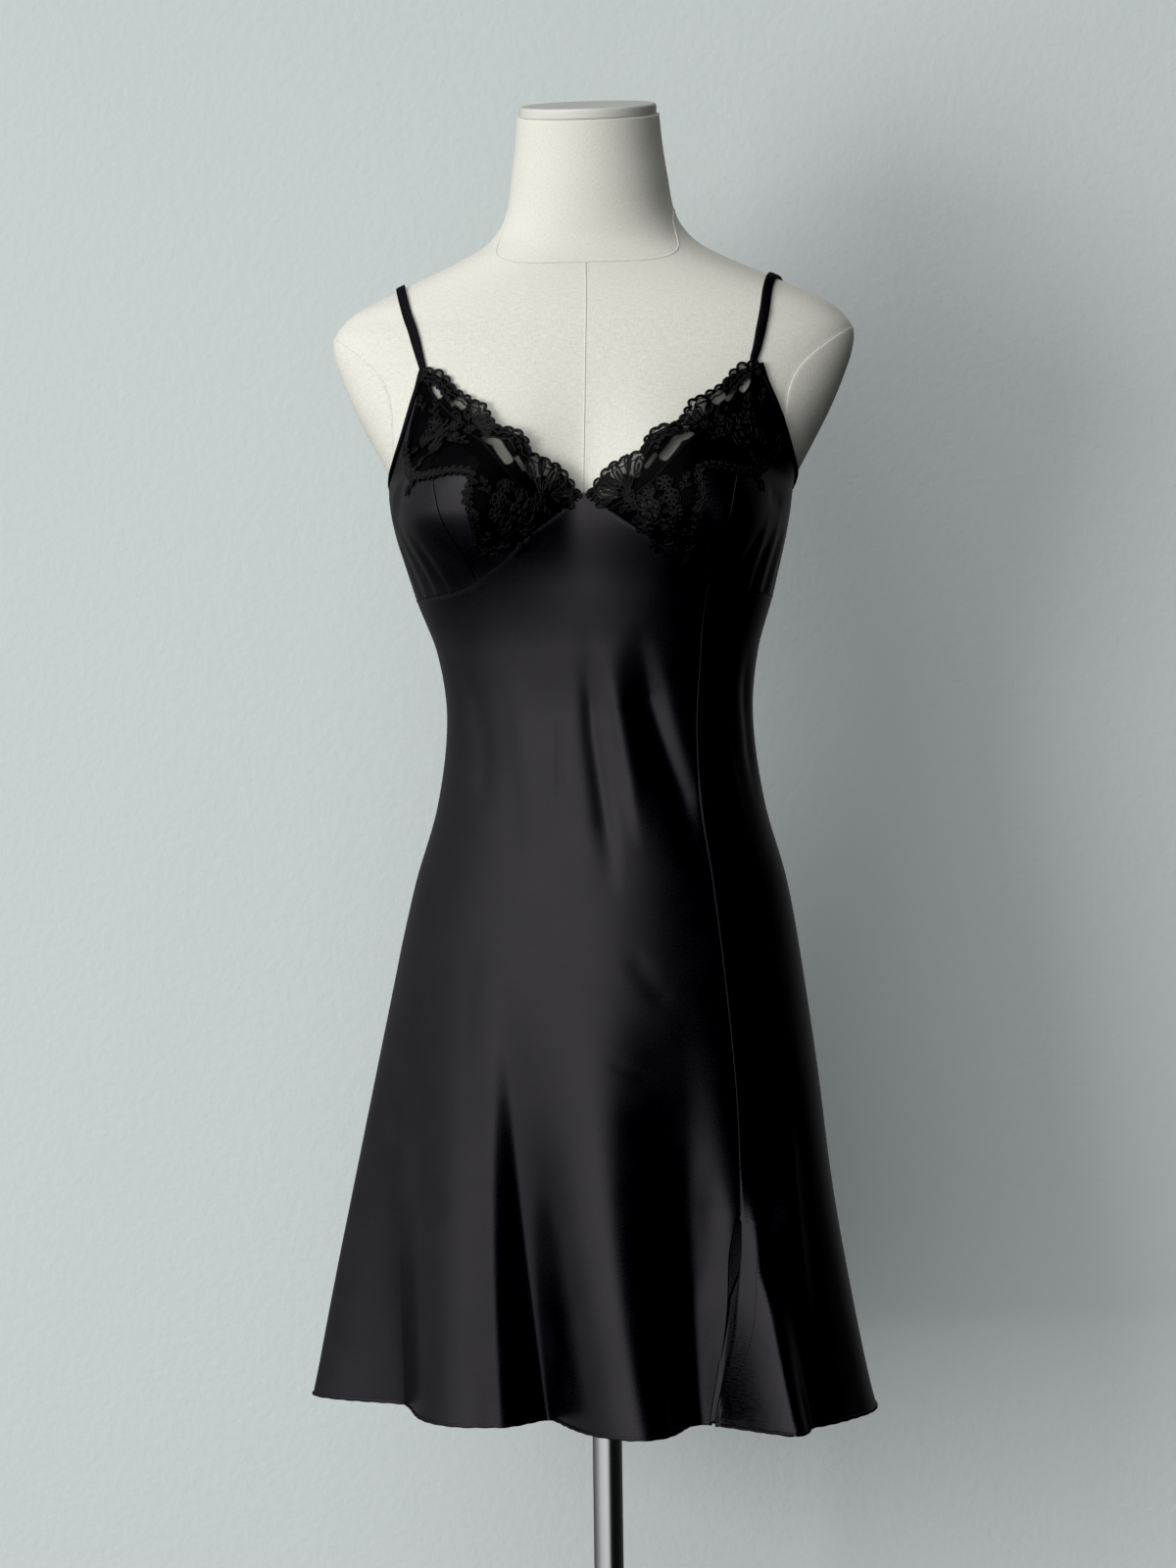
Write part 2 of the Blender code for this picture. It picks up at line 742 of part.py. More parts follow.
def strap_point(angle: float, side: int) -> Vector:
    mark = smooth_row(STRAP_ROUTE, angle)
    return shoulder_point(side * mark.apart + mark.shift, angle)


def make_strap(name: str, side: int) -> None:
    """A flat band over one shoulder, lying on the torso."""
    inner, outer = [[], []], [[], []]
    start, end = STRAP_ROUTE[0].angle, STRAP_ROUTE[-1].angle
    for share in steps(24):
        angle = start + (end - start) * share
        point = strap_point(angle, side)
        ahead = strap_point(min(angle + 1.5, end), side)
        behind = strap_point(max(angle - 1.5, start), side)
        along = (ahead - behind).normalized()
        across = shoulder_point(point.x + 0.004, angle) - shoulder_point(point.x - 0.004, angle)
        out = across.cross(along).normalized()
        across = along.cross(out).normalized()
        rise = STRAP_SEAT + STRAP_RISE * max(0.0, (angle - 112) / (end - 112)) ** 2
        for edge, aside in enumerate((-STRAP_WIDTH / 2, STRAP_WIDTH / 2)):
            seat = point + across * aside + out * rise
            inner[edge].append(seat)
            outer[edge].append(seat + out * STRAP)
    make_wall(name, inner, outer, "satin")


def loft(name: str, rings: Sequence[Sequence[Vector]], finish: str) -> bpy.types.Object:
    """A closed body through rings of points, with flat ends."""
    count = len(rings[0])
    points = [point for ring in rings for point in ring]
    faces = [tuple(range(count)), tuple(range(len(points) - count, len(points)))]
    for level in range(len(rings) - 1):
        for index in range(count):
            beside = (index + 1) % count
            a, b = level * count + index, level * count + beside
            faces.append((a, b, b + count, a + count))
    return make_object(name, points, faces, finish)


def form_ring(height: float, sides: int) -> list[Vector]:
    """A level ring of the torso, its points spaced evenly along an ellipse's own angle."""
    ring = smooth_row(FORM_RINGS, height)
    points = []
    for index in range(sides):
        turn = math.tau * index / sides
        depth = ring.front if math.cos(turn) >= 0 else ring.back
        azimuth = math.degrees(math.atan2(ring.half_width * math.sin(turn), depth * math.cos(turn)))
        radius = form_radius(azimuth, height)
        turned = math.radians(azimuth)
        points.append(Vector((radius * math.sin(turned), -radius * math.cos(turned), height)))
    return points


def neck_ring(ring: NeckRing, sides: int) -> list[Vector]:
    points = []
    for index in range(sides):
        turn = math.tau * index / sides
        back = -ring.half_depth * math.cos(turn)
        tip = math.radians(ring.tilt)
        points.append(
            Vector(
                (
                    ring.half_width * math.sin(turn),
                    ring.centre_y + back * math.cos(tip),
                    ring.height + back * math.sin(tip),
                )
            )
        )
    return points


def torso_rings() -> list[list[Vector]]:
    """The torso's rings: wide apart over the hips, close over the bust, then the tables' rows."""
    sides = 40
    heights = [FORM_BOTTOM + (CHEST - FORM_BOTTOM) * share for share in steps(8)]
    heights += [CHEST + (SHOULDER - CHEST) * share for share in steps(10)[1:]]
    heights += [ring.height for ring in FORM_RINGS if ring.height > SHOULDER]
    rings = [form_ring(height, sides) for height in heights]
    return rings + [neck_ring(ring, sides) for ring in NECK_RINGS]


def arm_cutter(name: str, side: int, shrink: float) -> bpy.types.Object:
    """An elliptical cylinder along X that cuts the arm's end out of the torso."""
    sides, outer_x = 28, 0.24
    centre_y, centre_z = ARM_CENTRE
    rings = []
    for x in (ARM_INNER_X + shrink, outer_x):
        rings.append(
            [
                Vector(
                    (
                        side * x,
                        centre_y + (ARM_HALF_DEPTH - shrink) * math.cos(math.tau * i / sides),
                        centre_z + (ARM_HALF_HEIGHT - shrink) * math.sin(math.tau * i / sides),
                    )
                )
                for i in range(sides)
            ]
        )
    cutter = loft(name, rings, "linen")
    cutter.hide_render = True
    cutter.display_type = "WIRE"
    return cutter


def cut(obj: bpy.types.Object, cutter: bpy.types.Object, operation: str) -> None:
    modifier = obj.modifiers.new(f"{operation.lower()}_{cutter.name}", "BOOLEAN")
    modifier.operation = operation
    modifier.solver = "EXACT"
    modifier.object = cutter


def make_torso() -> None:
    rings = torso_rings()
    torso = loft("form_torso", rings, "linen")
    for side, label in ((1, "left"), (-1, "right")):
        cut(torso, arm_cutter(f"arm_recess_{label}", side, 0.0), "DIFFERENCE")
        cap = loft(f"arm_cap_{label}", rings, "linen")
        cut(cap, arm_cutter(f"arm_outline_{label}", side, GAP), "INTERSECT")


def make_form_plates() -> None:
    """The neck cap on top, and the plate that closes the torso below."""
    top = NECK_RINGS[-1]
    tip = math.radians(top.tilt)
    up = Vector((0, -math.sin(tip), math.cos(tip)))
    rim = NECK_CAP_RADIUS / top.half_width
    levels = ((GAP, 0.985), (0.0012, 1.0), (NECK_CAP_THICKNESS - 0.002, 1.0), (NECK_CAP_THICKNESS, 0.96))
    rings = []
    for lift, scale in levels:
        width = top.half_width * rim * scale
        shape = top._replace(half_width=width, half_depth=width)
        rings.append([point + up * lift for point in neck_ring(shape, 40)])
    loft("neck_cap", rings, "paint")
    outline = form_ring(FORM_BOTTOM, 40)
    levels = (FORM_BOTTOM - GAP - PLATE, FORM_BOTTOM - GAP)
    rings = [
        [Vector((point.x * PLATE_INSET, point.y * PLATE_INSET, height)) for point in outline]
        for height in levels
    ]
    loft("form_bottom_plate", rings, "paint")


def turned(name: str, profile: Sequence[tuple[float, float]], sides: int, finish: str) -> None:
    """A body of revolution about Z from (radius, height) points; a point on the axis closes it."""
    points, rings = [], []
    for radius, height in profile:
        rings.append(list(range(len(points), len(points) + (1 if radius == 0 else sides))))
        for index in range(len(rings[-1])):
            turn = math.tau * index / sides
            points.append(Vector((radius * math.cos(turn), radius * math.sin(turn), height)))
    faces = []
    pairs = list(zip(rings, rings[1:] + rings[:1], strict=True))
    for low, high in pairs:
        if len(low) == len(high) == 1:
            continue
        for index in range(sides):
            beside = (index + 1) % sides
            corners = [low[index % len(low)], low[beside % len(low)]]
            corners += [high[beside % len(high)], high[index % len(high)]]
            faces.append(tuple(dict.fromkeys(corners)))
    make_object(name, points, faces, finish)


def make_stand() -> None:
    """The pole, the collar that holds it under the form, and the floor plate with its hub."""
    under = FORM_BOTTOM - GAP - PLATE
    bore = POLE_RADIUS + GAP
    collar_top = under - GAP
    collar_bottom = collar_top - COLLAR_HEIGHT
    turned(
        "pole_collar",
        (
            (bore, collar_top),
            (COLLAR_RADIUS, collar_top),
            (COLLAR_RADIUS, collar_top - 0.005),
            (bore + 0.008, collar_top - 0.008),
            (bore + 0.006, collar_bottom),
            (bore, collar_bottom),
        ),
        32,
        "steel",
    )
    pole_bottom = HUB_FLOOR + GAP
    turned(
        "pole",
        (
            (0, collar_top - 0.001),
            (POLE_RADIUS, collar_top - 0.001),
            (POLE_RADIUS, pole_bottom),
            (0, pole_bottom),
        ),
        32,
        "chrome",
    )
    turned(
        "base_plate",
        (
            (0, HUB_FLOOR),
            (bore, HUB_FLOOR),
            (bore, HUB_HEIGHT),
            (HUB_RADIUS - 0.003, HUB_HEIGHT),
            (HUB_RADIUS, HUB_HEIGHT - 0.003),
            (HUB_RADIUS + 0.002, BASE_EDGE + 0.008),
            (HUB_RADIUS + 0.012, BASE_EDGE + 0.002),
            (BASE_RADIUS - 0.003, BASE_EDGE),
            (BASE_RADIUS, BASE_EDGE - 0.002),
            (BASE_RADIUS, 0.0015),
            (BASE_RADIUS - 0.0015, 0),
            (0, 0),
        ),
        64,
        "steel",
    )


def main() -> None:
    for obj in list(bpy.data.objects):
        bpy.data.objects.remove(obj, do_unlink=True)
    make_front_panel()
    make_side_panel()
    make_back_panel()
    make_sided_cloth()
    make_strap("strap_left", 1)
    make_strap("strap_right", -1)
    make_torso()
    make_form_plates()
    make_stand()


if __name__ == "__main__":
    main()
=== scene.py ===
"""The looks of a black satin slip dress with lace cups, on a linen dress form with a steel stand.

Metres, +Z up, the dress faces -Y and +X is the wearer's left. An azimuth is in degrees around
+Z, 0 at the front and 90 at +X. All cloth lies on one surface, ClothSurface, which repeats the
rings, bust and folds of the solid model and adds the finer creases. Lace is drawn in flat motifs
that are laid on that surface.
"""

import logging
import math
from collections.abc import Callable, Sequence
from dataclasses import dataclass, field
from enum import Enum

import bmesh
import bpy
import numpy as np
from mathutils import Matrix, Vector


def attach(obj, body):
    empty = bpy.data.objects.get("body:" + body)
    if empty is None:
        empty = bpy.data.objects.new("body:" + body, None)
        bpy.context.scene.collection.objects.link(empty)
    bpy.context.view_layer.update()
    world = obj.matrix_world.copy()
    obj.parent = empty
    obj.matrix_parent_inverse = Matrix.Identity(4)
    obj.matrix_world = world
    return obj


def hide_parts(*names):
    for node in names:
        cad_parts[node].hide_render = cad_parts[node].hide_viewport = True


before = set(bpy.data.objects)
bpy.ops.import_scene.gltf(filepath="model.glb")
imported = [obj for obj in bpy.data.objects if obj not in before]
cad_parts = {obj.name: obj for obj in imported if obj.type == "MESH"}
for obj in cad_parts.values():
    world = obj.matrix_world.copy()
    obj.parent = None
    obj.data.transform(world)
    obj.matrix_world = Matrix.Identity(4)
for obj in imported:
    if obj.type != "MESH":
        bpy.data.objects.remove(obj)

LOG = logging.getLogger("slip_dress")
Array = np.ndarray
Spots = Sequence[tuple[float, float]]

BODY = "root"

# Heights and azimuths that the pieces share
HEM = 0.553
SLIT_TOP = 0.702
SIDE_SEAM = 95.0
METRES_PER_DEGREE = math.radians(1.0) * 0.140
CUP_TOP = 4 / 15
ARMHOLE_END = 10 / 15

# How far each layer of cloth lies outside the surface
SATIN_INSIDE = 0.0002
SATIN_THICKNESS = 0.0009
NET_LIFT = 0.0016
CORD_LIFT = 0.0021
THREAD_LIFT = 0.0019
COVER = "cover"  # how much of what lies behind it the lace's ground hides, on each vertex


class Side(Enum):
    """The wearer's left or right, with the sign of X there."""

    LEFT = 1
    RIGHT = -1

    @property
    def label(self) -> str:
        """The side as it stands in the names of pieces."""
        return self.name.lower()


class Weight(Enum):
    """The yarns of the lace, by their diameter in metres and their number of sides."""

    CORD = (0.00130, 6)
    YARN = (0.00085, 5)
    THREAD = (0.00042, 4)


# Numbers, tables and meshes


class SmoothTable:
    """Rows of numbers, with a smooth curve through each column against the first."""

    def __init__(self, rows: Sequence[Sequence[float]]) -> None:
        """Keeps the rows.

        Args:
            rows: Rows in rising order of their first number.
        """
        self.rows = np.array(rows, float)

    def at(self, key: Array | float) -> Array:
        """The row at each key.

        Args:
            key: Values of the first column.

        Returns:
            An array with one row more of shape than the keys.
        """
        rows = self.rows
        keys = rows[:, 0]
        key = np.clip(np.asarray(key, float), keys[0], keys[-1])
        low = np.clip(np.searchsorted(keys, key, side="right") - 1, 0, len(keys) - 2)
        start, end = rows[low], rows[low + 1]
        before, after = rows[np.maximum(low - 1, 0)], rows[np.minimum(low + 2, len(keys) - 1)]
        step = end[..., :1] - start[..., :1]
        t = (key[..., None] - start[..., :1]) / step
        slope_start = (end - before) / (end[..., :1] - before[..., :1]) * step
        slope_end = (after - start) / (after[..., :1] - start[..., :1]) * step
        return (
            (2 * t**3 - 3 * t**2 + 1) * start
            + (t**3 - 2 * t**2 + t) * slope_start
            + (3 * t**2 - 2 * t**3) * end
            + (t**3 - t**2) * slope_end
        )

    def column(self, key: Array | float, index: int) -> Array:
        """One column of the rows at each key."""
        return self.at(key)[..., index]


def smooth_path(points: Sequence[Sequence[float]], spacing: float, closed: bool = False) -> Array:
    """A smooth curve through points, evenly spaced.

    Args:
        points: The points, in any number of dimensions, with lengths in metres.
        spacing: The distance between the points that come back.
        closed: Whether the last point joins the first.

    Returns:
        The points of the curve, as rows.
    """
    points = np.asarray(points, float)
    if closed:
        points = np.vstack([points, points[:1]])
    reach = np.concatenate([[0], np.cumsum(np.linalg.norm(np.diff(points, axis=0), axis=1))])
    table = SmoothTable(np.column_stack([reach, points]))
    fine = table.at(np.linspace(0, reach[-1], max(8, int(reach[-1] / spacing * 4))))[:, 1:]
    reach = np.concatenate([[0], np.cumsum(np.linalg.norm(np.diff(fine, axis=0), axis=1))])
    count = max(3, int(round(reach[-1] / spacing)) + 1)
    at = np.linspace(0, reach[-1], count)
    even = np.column_stack([np.interp(at, reach, axis) for axis in fine.T])
    return even[:-1] if closed else even


def unit(vectors: Array) -> Array:
    """Vectors of length one."""
    return vectors / np.maximum(np.linalg.norm(vectors, axis=-1, keepdims=True), 1e-12)


def along_path(points: Array) -> Array:
    """The direction of a path at each of its points."""
    return unit(np.gradient(points, axis=0))


def crowded(width: float, count: int, roll: float) -> Array:
    """Shares from 0 to 1, with extra ones near both ends where an edge rolls over.

    Args:
        width: The width in metres.
        count: How many even steps lie between the ends.
        roll: How far from each end the extra ones reach, in metres.

    Returns:
        The shares, rising.
    """
    ends = np.array([0.0, 0.12, 0.4, 1.0]) * roll / width
    return np.concatenate([ends[:-1], np.linspace(ends[-1], 1 - ends[-1], count), 1 - ends[-2::-1]])


def make_mesh(
    name: str, points: Array, faces: Sequence[Sequence[int]] = (), edges: Array | Sequence = ()
) -> bpy.types.Object:
    """A mesh object at the origin.

    Args:
        name: The object's name.
        points: The vertices, as rows.
        faces: Vertex numbers of each face.
        edges: Vertex numbers of each loose edge.

    Returns:
        The object, linked to the scene.
    """
    mesh = bpy.data.meshes.new(name)
    mesh.from_pydata(np.asarray(points, float).tolist(), [tuple(e) for e in edges], [tuple(f) for f in faces])
    mesh.validate()
    mesh.shade_smooth()
    obj = bpy.data.objects.new(name, mesh)
    bpy.context.scene.collection.objects.link(obj)
    return obj


def grid_faces(rows: int, columns: int, first: int = 0, closed: bool = False, flip: bool = False) -> Array:
    """The quads of a grid of vertices.

    Args:
        rows: The number of rows.
        columns: The number of vertices in a row.
        first: The number of the grid's first vertex.
        closed: Whether the last column joins the first.
        flip: Whether the faces turn the other way.

    Returns:
        Vertex numbers, four to a row.
    """
    across = columns if closed else columns - 1
    row, column = np.meshgrid(np.arange(rows - 1), np.arange(across), indexing="ij")
    a = row * columns + column
    b = row * columns + (column + 1) % columns
    quads = np.stack([a, b, b + columns, a + columns], -1).reshape(-1, 4) + first
    return quads[:, ::-1] if flip else quads


def set_uv(obj: bpy.types.Object, per_vertex: Array) -> None:
    """Gives a mesh a UV map, in metres, from a value for each vertex."""
    layer = obj.data.uv_layers.new(name="cloth")
    corner = np.zeros(len(obj.data.loops), np.int32)
    obj.data.loops.foreach_get("vertex_index", corner)
    layer.data.foreach_set("uv", per_vertex[corner].astype(np.float32).ravel())


def shell(name: str, outer: Array, normals: Array, thickness: Array | float, uv: Array) -> bpy.types.Object:
    """A closed sheet of cloth from a grid of points on its outer face.

    Args:
        name: The object's name.
        outer: The outer face, rows by columns by 3.
        normals: The outward directions there.
        thickness: The cloth's thickness, in metres.
        uv: Pattern coordinates, rows by columns by 2.

    Returns:
        The object, with material slot 0 outside and 1 inside.
    """
    rows, columns = outer.shape[:2]
    inner = outer - normals * np.asarray(thickness)[..., None]
    half = rows * columns
    faces = [grid_faces(rows, columns), grid_faces(rows, columns, half, flip=True)]
    rim = [c for c in range(columns)] + [r * columns + columns - 1 for r in range(1, rows)]
    rim += [(rows - 1) * columns + c for c in range(columns - 2, -1, -1)]
    rim += [r * columns for r in range(rows - 2, 0, -1)]
    edge = np.array(rim)
    beside = np.roll(edge, -1)
    faces.append(np.stack([edge, edge + half, beside + half, beside], -1))
    obj = make_mesh(name, np.vstack([outer.reshape(-1, 3), inner.reshape(-1, 3)]), np.vstack(faces))
    set_uv(obj, np.vstack([uv.reshape(-1, 2)] * 2))
    slots = np.zeros(len(obj.data.polygons), np.int32)
    slots[half_faces(rows, columns) : 2 * half_faces(rows, columns)] = 1
    obj.data.polygons.foreach_set("material_index", slots)
    return obj


def set_cover(obj: bpy.types.Object, per_vertex: Array) -> None:
    """Notes on each vertex how much the cloth hides."""
    layer = obj.data.attributes.new(COVER, "FLOAT", "POINT")
    layer.data.foreach_set("value", per_vertex.astype(np.float32).ravel())


def half_faces(rows: int, columns: int) -> int:
    """How many quads one face of a grid has."""
    return (rows - 1) * (columns - 1)


def swept(
    name: str,
    path: Array,
    out: Array,
    width: Array | float,
    height: Array | float,
    sides: int = 12,
    closed: bool = False,
) -> bpy.types.Object:
    """A rounded band or tube along a path.

    Args:
        name: The object's name.
        path: The middle of the band.
        out: The direction that the band's face looks, at each point.
        width: Its width across, in metres.
        height: Its thickness along out, in metres.
        sides: How many points its section has.
        closed: Whether the path joins itself.

    Returns:
        The object, with UVs in metres along and around the band.
    """
    along = along_path(path)
    across = unit(np.cross(along, out))
    out = unit(np.cross(across, along))
    turn = np.linspace(0, math.tau, sides, endpoint=False)
    square = 0.55
    x = np.sign(np.cos(turn)) * np.abs(np.cos(turn)) ** square
    y = np.sign(np.sin(turn)) * np.abs(np.sin(turn)) ** square
    width = np.broadcast_to(np.asarray(width, float), len(path))[:, None, None] / 2
    height = np.broadcast_to(np.asarray(height, float), len(path))[:, None, None] / 2
    points = path[:, None] + across[:, None] * x[None, :, None] * width
    points = points + out[:, None] * y[None, :, None] * height
    rows = len(path)
    faces = [tuple(f) for f in grid_faces(rows, sides, closed=True, flip=True)]
    if closed:
        last = (rows - 1) * sides
        faces += [(last + (i + 1) % sides, last + i, i, (i + 1) % sides) for i in range(sides)]
    else:
        faces += [tuple(range(sides)), tuple(range(rows * sides - 1, (rows - 1) * sides - 1, -1))]
    obj = make_mesh(name, points.reshape(-1, 3), faces)
    reach = np.concatenate([[0], np.cumsum(np.linalg.norm(np.diff(path, axis=0), axis=1))])
    uv = np.stack(np.broadcast_arrays(turn[None, :] * 0.001, reach[:, None]), -1)
    set_uv(obj, uv.reshape(-1, 2))
    outward(obj)
    return obj


def outward(obj: bpy.types.Object) -> None:
    """Turns the faces of a closed mesh outwards."""
    bm = bmesh.new()
    bm.from_mesh(obj.data)
    bmesh.ops.recalc_face_normals(bm, faces=bm.faces)
    bm.to_mesh(obj.data)
    bm.free()


def lathe(
    name: str, profile: Sequence[tuple[float, float]], sides: int, place: Matrix | None = None
) -> bpy.types.Object:
    """A closed body turned about Z from (radius, height) points.

    Args:
        name: The object's name.
        profile: The outline; its ends lie on the axis or join each other.
        sides: How many points a ring has.
        place: Where the body goes.

    Returns:
        The object, with its place in its mesh.
    """
    bm = bmesh.new()
    corners = [bm.verts.new((radius, 0, height)) for radius, height in profile]
    loop = profile[0][0] > 0
    pairs = list(zip(corners, corners[1:] + corners[:1])) if loop else list(zip(corners, corners[1:]))
    edges = [bm.edges.new(pair) for pair in pairs]
    bmesh.ops.spin(
        bm, geom=corners + edges, cent=(0, 0, 0), axis=(0, 0, 1), angle=math.tau, steps=sides, use_merge=True
    )
    bmesh.ops.remove_doubles(bm, verts=bm.verts, dist=1e-6)
    bmesh.ops.recalc_face_normals(bm, faces=bm.faces)
    bm.transform(place or Matrix.Identity(4))
    mesh = bpy.data.meshes.new(name)
    bm.to_mesh(mesh)
    bm.free()
    mesh.shade_smooth()
    mesh.set_sharp_from_angle(angle=math.radians(35))
    obj = bpy.data.objects.new(name, mesh)
    bpy.context.scene.collection.objects.link(obj)
    return obj


def fillet(
    corner: tuple[float, float],
    before: tuple[float, float],
    after: tuple[float, float],
    radius: float,
    count: int = 5,
) -> list[tuple[float, float]]:
    """Points that round a corner of a profile.

    Args:
        corner: The corner.
        before: The point before it.
        after: The point after it.
        radius: How far from the corner the rounding starts.
        count: How many points it has.

    Returns:
        The points, from the side of before to the side of after.
    """
    c, b, a = np.array(corner), np.array(before), np.array(after)
    start, end = c + unit(b - c) * radius, c + unit(a - c) * radius
    t = np.linspace(0, 1, count)[:, None]
    return [tuple(p) for p in (1 - t) ** 2 * start + 2 * t * (1 - t) * c + t**2 * end]


# The surface of the cloth and of the form

CLOTH_RINGS = SmoothTable(  # height, half width, depth in front, depth behind, roundness, centre X
    [
        (0.540, 0.2080, 0.1540, 0.1600, 2.00, -0.0150),
        (0.573, 0.2015, 0.1500, 0.1550, 2.00, -0.0150),
        (0.650, 0.1890, 0.1430, 0.1480, 2.00, -0.0130),
        (0.720, 0.1780, 0.1360, 0.1420, 2.00, -0.0100),
        (0.800, 0.1665, 0.1280, 0.1360, 2.00, -0.0050),
        (0.871, 0.1545, 0.1200, 0.1300, 2.00, -0.0015),
        (0.945, 0.1400, 0.1080, 0.1180, 2.05, 0.0010),
        (1.005, 0.1230, 0.0960, 0.1000, 2.10, 0.0020),
        (1.070, 0.1150, 0.0880, 0.0880, 2.10, 0.0020),
        (1.120, 0.1205, 0.0920, 0.0885, 2.10, 0.0010),
        (1.165, 0.1350, 0.0980, 0.0920, 2.15, -0.0010),
        (1.235, 0.1505, 0.1000, 0.1000, 2.20, -0.0025),
        (1.280, 0.1480, 0.0880, 0.0960, 2.25, -0.0010),
        (1.340, 0.1500, 0.0740, 0.0900, 2.30, 0.0000),
    ]
)
FORM_BOTTOM = 0.800
FORM_RINGS = SmoothTable(
    [
        (FORM_BOTTOM, 0.1440, 0.1000, 0.1100, 2.00),
        (0.850, 0.1460, 0.1040, 0.1160, 2.00),
        (0.900, 0.1420, 0.1040, 0.1180, 2.00),
        (0.945, 0.1330, 0.1000, 0.1120, 2.05),
        (1.005, 0.1160, 0.0910, 0.0950, 2.10),
        (1.070, 0.1085, 0.0835, 0.0835, 2.10),
        (1.120, 0.1145, 0.0870, 0.0840, 2.10),
        (1.165, 0.1285, 0.0915, 0.0870, 2.15),
        (1.235, 0.1430, 0.0920, 0.0950, 2.20),
        (1.259, 0.1560, 0.0890, 0.0950, 2.25),
        (1.302, 0.1790, 0.0780, 0.0950, 2.30),
        (1.330, 0.1910, 0.0700, 0.0900, 2.25),
        (1.347, 0.1965, 0.0650, 0.0860, 2.20),
        (1.361, 0.1975, 0.0600, 0.0810, 2.10),
        (1.370, 0.1930, 0.0565, 0.0775, 2.00),
        (1.381, 0.1810, 0.0540, 0.0740, 2.00),
        (1.3925, 0.1580, 0.0525, 0.0710, 2.00),
        (1.404, 0.1330, 0.0525, 0.0690, 2.00),
        (1.416, 0.1060, 0.0530, 0.0670, 2.00),
    ]
)
NECK_RINGS = (  # height, half width, half depth, centre Y, tilt in degrees
    (1.429, 0.0830, 0.0585, 0.0060, 0.0),
    (1.443, 0.0695, 0.0560, 0.0020, 2.0),
    (1.458, 0.0630, 0.0545, -0.0015, 4.0),
    (1.478, 0.0597, 0.0535, -0.0050, 7.0),
    (1.502, 0.0562, 0.0525, -0.0085, 11.0),
    (1.526, 0.0540, 0.0520, -0.0120, 14.0),
)


def ring_radius(azimuth: Array, ring: Array) -> Array:
    """How far a ring lies from its centre in the direction of an azimuth."""
    turn = np.radians(azimuth)
    across, ahead = np.abs(np.sin(turn)), np.cos(turn)
    depth = np.where(ahead >= 0, ring[..., 2], ring[..., 3])
    power = ring[..., 4]
    return ((across / ring[..., 1]) ** power + (np.abs(ahead) / depth) ** power) ** (-1 / power)


def bodice_turn(height: Array, side: Side | None = None) -> Array:
    """How far the bodice sits turned towards the wearer's left, in degrees.

    Args:
        height: Heights, in metres.
        side: The cup, because each strap draws the top of its cup its own way.

    Returns:
        The turn at each height.
    """
    low = 2.0
    top = {Side.LEFT: 1.6, Side.RIGHT: 0.2, None: low}[side]
    t = np.clip((np.asarray(height, float) - 1.270) / (1.330 - 1.270), 0, 1)
    return low + (top - low) * t * t * (3 - 2 * t)


def wrapped(turn: Array) -> Array:
    """Degrees brought to the range from -180 to 180."""
    return (turn + 180) % 360 - 180


def bust_rise(azimuth: Array, height: Array, rise: float) -> Array:
    """The two soft mounds of the bust.

    Args:
        azimuth: Azimuths, in degrees.
        height: Heights, in metres.
        rise: How far the mounds stand out, in metres.

    Returns:
        How far the bust moves the surface out.
    """
    place, middle, spread, reach_up, reach_down, bridge = 38.0, 1.222, 25.0, 0.060, 0.042, 7.0
    aside = np.hypot(wrapped(azimuth), bridge) - math.hypot(place, bridge)
    up = (height - middle) / np.where(height > middle, reach_up, reach_down)
    return rise * np.exp(-((aside / spread) ** 2) - up * up)


def form_radius(azimuth: Array, height: Array) -> Array:
    """How far the torso's surface lies from the Z axis."""
    return ring_radius(azimuth, FORM_RINGS.at(height)) + bust_rise(azimuth, height, 0.036)


@dataclass(frozen=True)
class Fold:
    """A crest or valley line that grows from its top to the hem; the cloth waves between them."""

    azimuth_hem: float
    azimuth_top: float
    offset_hem: float
    top: float


@dataclass(frozen=True)
class Crease:
    """A soft trough or ridge along a line on the cloth.

    depth is below 0 for a trough. The reaches are how far it spreads to the side of falling
    and of rising azimuth, in metres, and the ends are its strength at the line's two ends.
    """

    line: Spots
    depth: float
    reach_low: float
    reach_high: float
    ends: tuple[float, float] = (0.0, 0.0)

    def offset(self, azimuth: Array, height: Array) -> Array:
        """How far the crease moves the cloth out at each place."""
        origin = self.line[0][0]
        x, y = wrapped(azimuth - origin) * METRES_PER_DEGREE, height
        knots = np.array(self.line, float)
        knots[:, 0] = (knots[:, 0] - origin) * METRES_PER_DEGREE
        steps = np.linalg.norm(np.diff(knots, axis=0), axis=1)
        total = steps.sum()
        nearest = np.full(np.shape(x), np.inf)
        aside, share = np.zeros(np.shape(x)), np.zeros(np.shape(x))
        done = 0.0
        for start, end, step in zip(knots, knots[1:], steps, strict=False):
            dx, dy = (end - start) / step
            t = np.clip((x - start[0]) * dx + (y - start[1]) * dy, 0, step)
            ex, ey = x - start[0] - t * dx, y - start[1] - t * dy
            distance = np.hypot(ex, ey)
            near = distance < nearest
            nearest = np.where(near, distance, nearest)
            aside = np.where(near, ex, aside)
            share = np.where(near, (done + t) / total, share)
            done += step
        reach = np.where(aside < 0, self.reach_low, self.reach_high)
        fade = np.interp(share, [0, 0.3, 0.7, 1], [self.ends[0], 1, 1, self.ends[1]])
        return self.depth * fade**1.5 * np.exp(-((nearest / reach) ** 2))


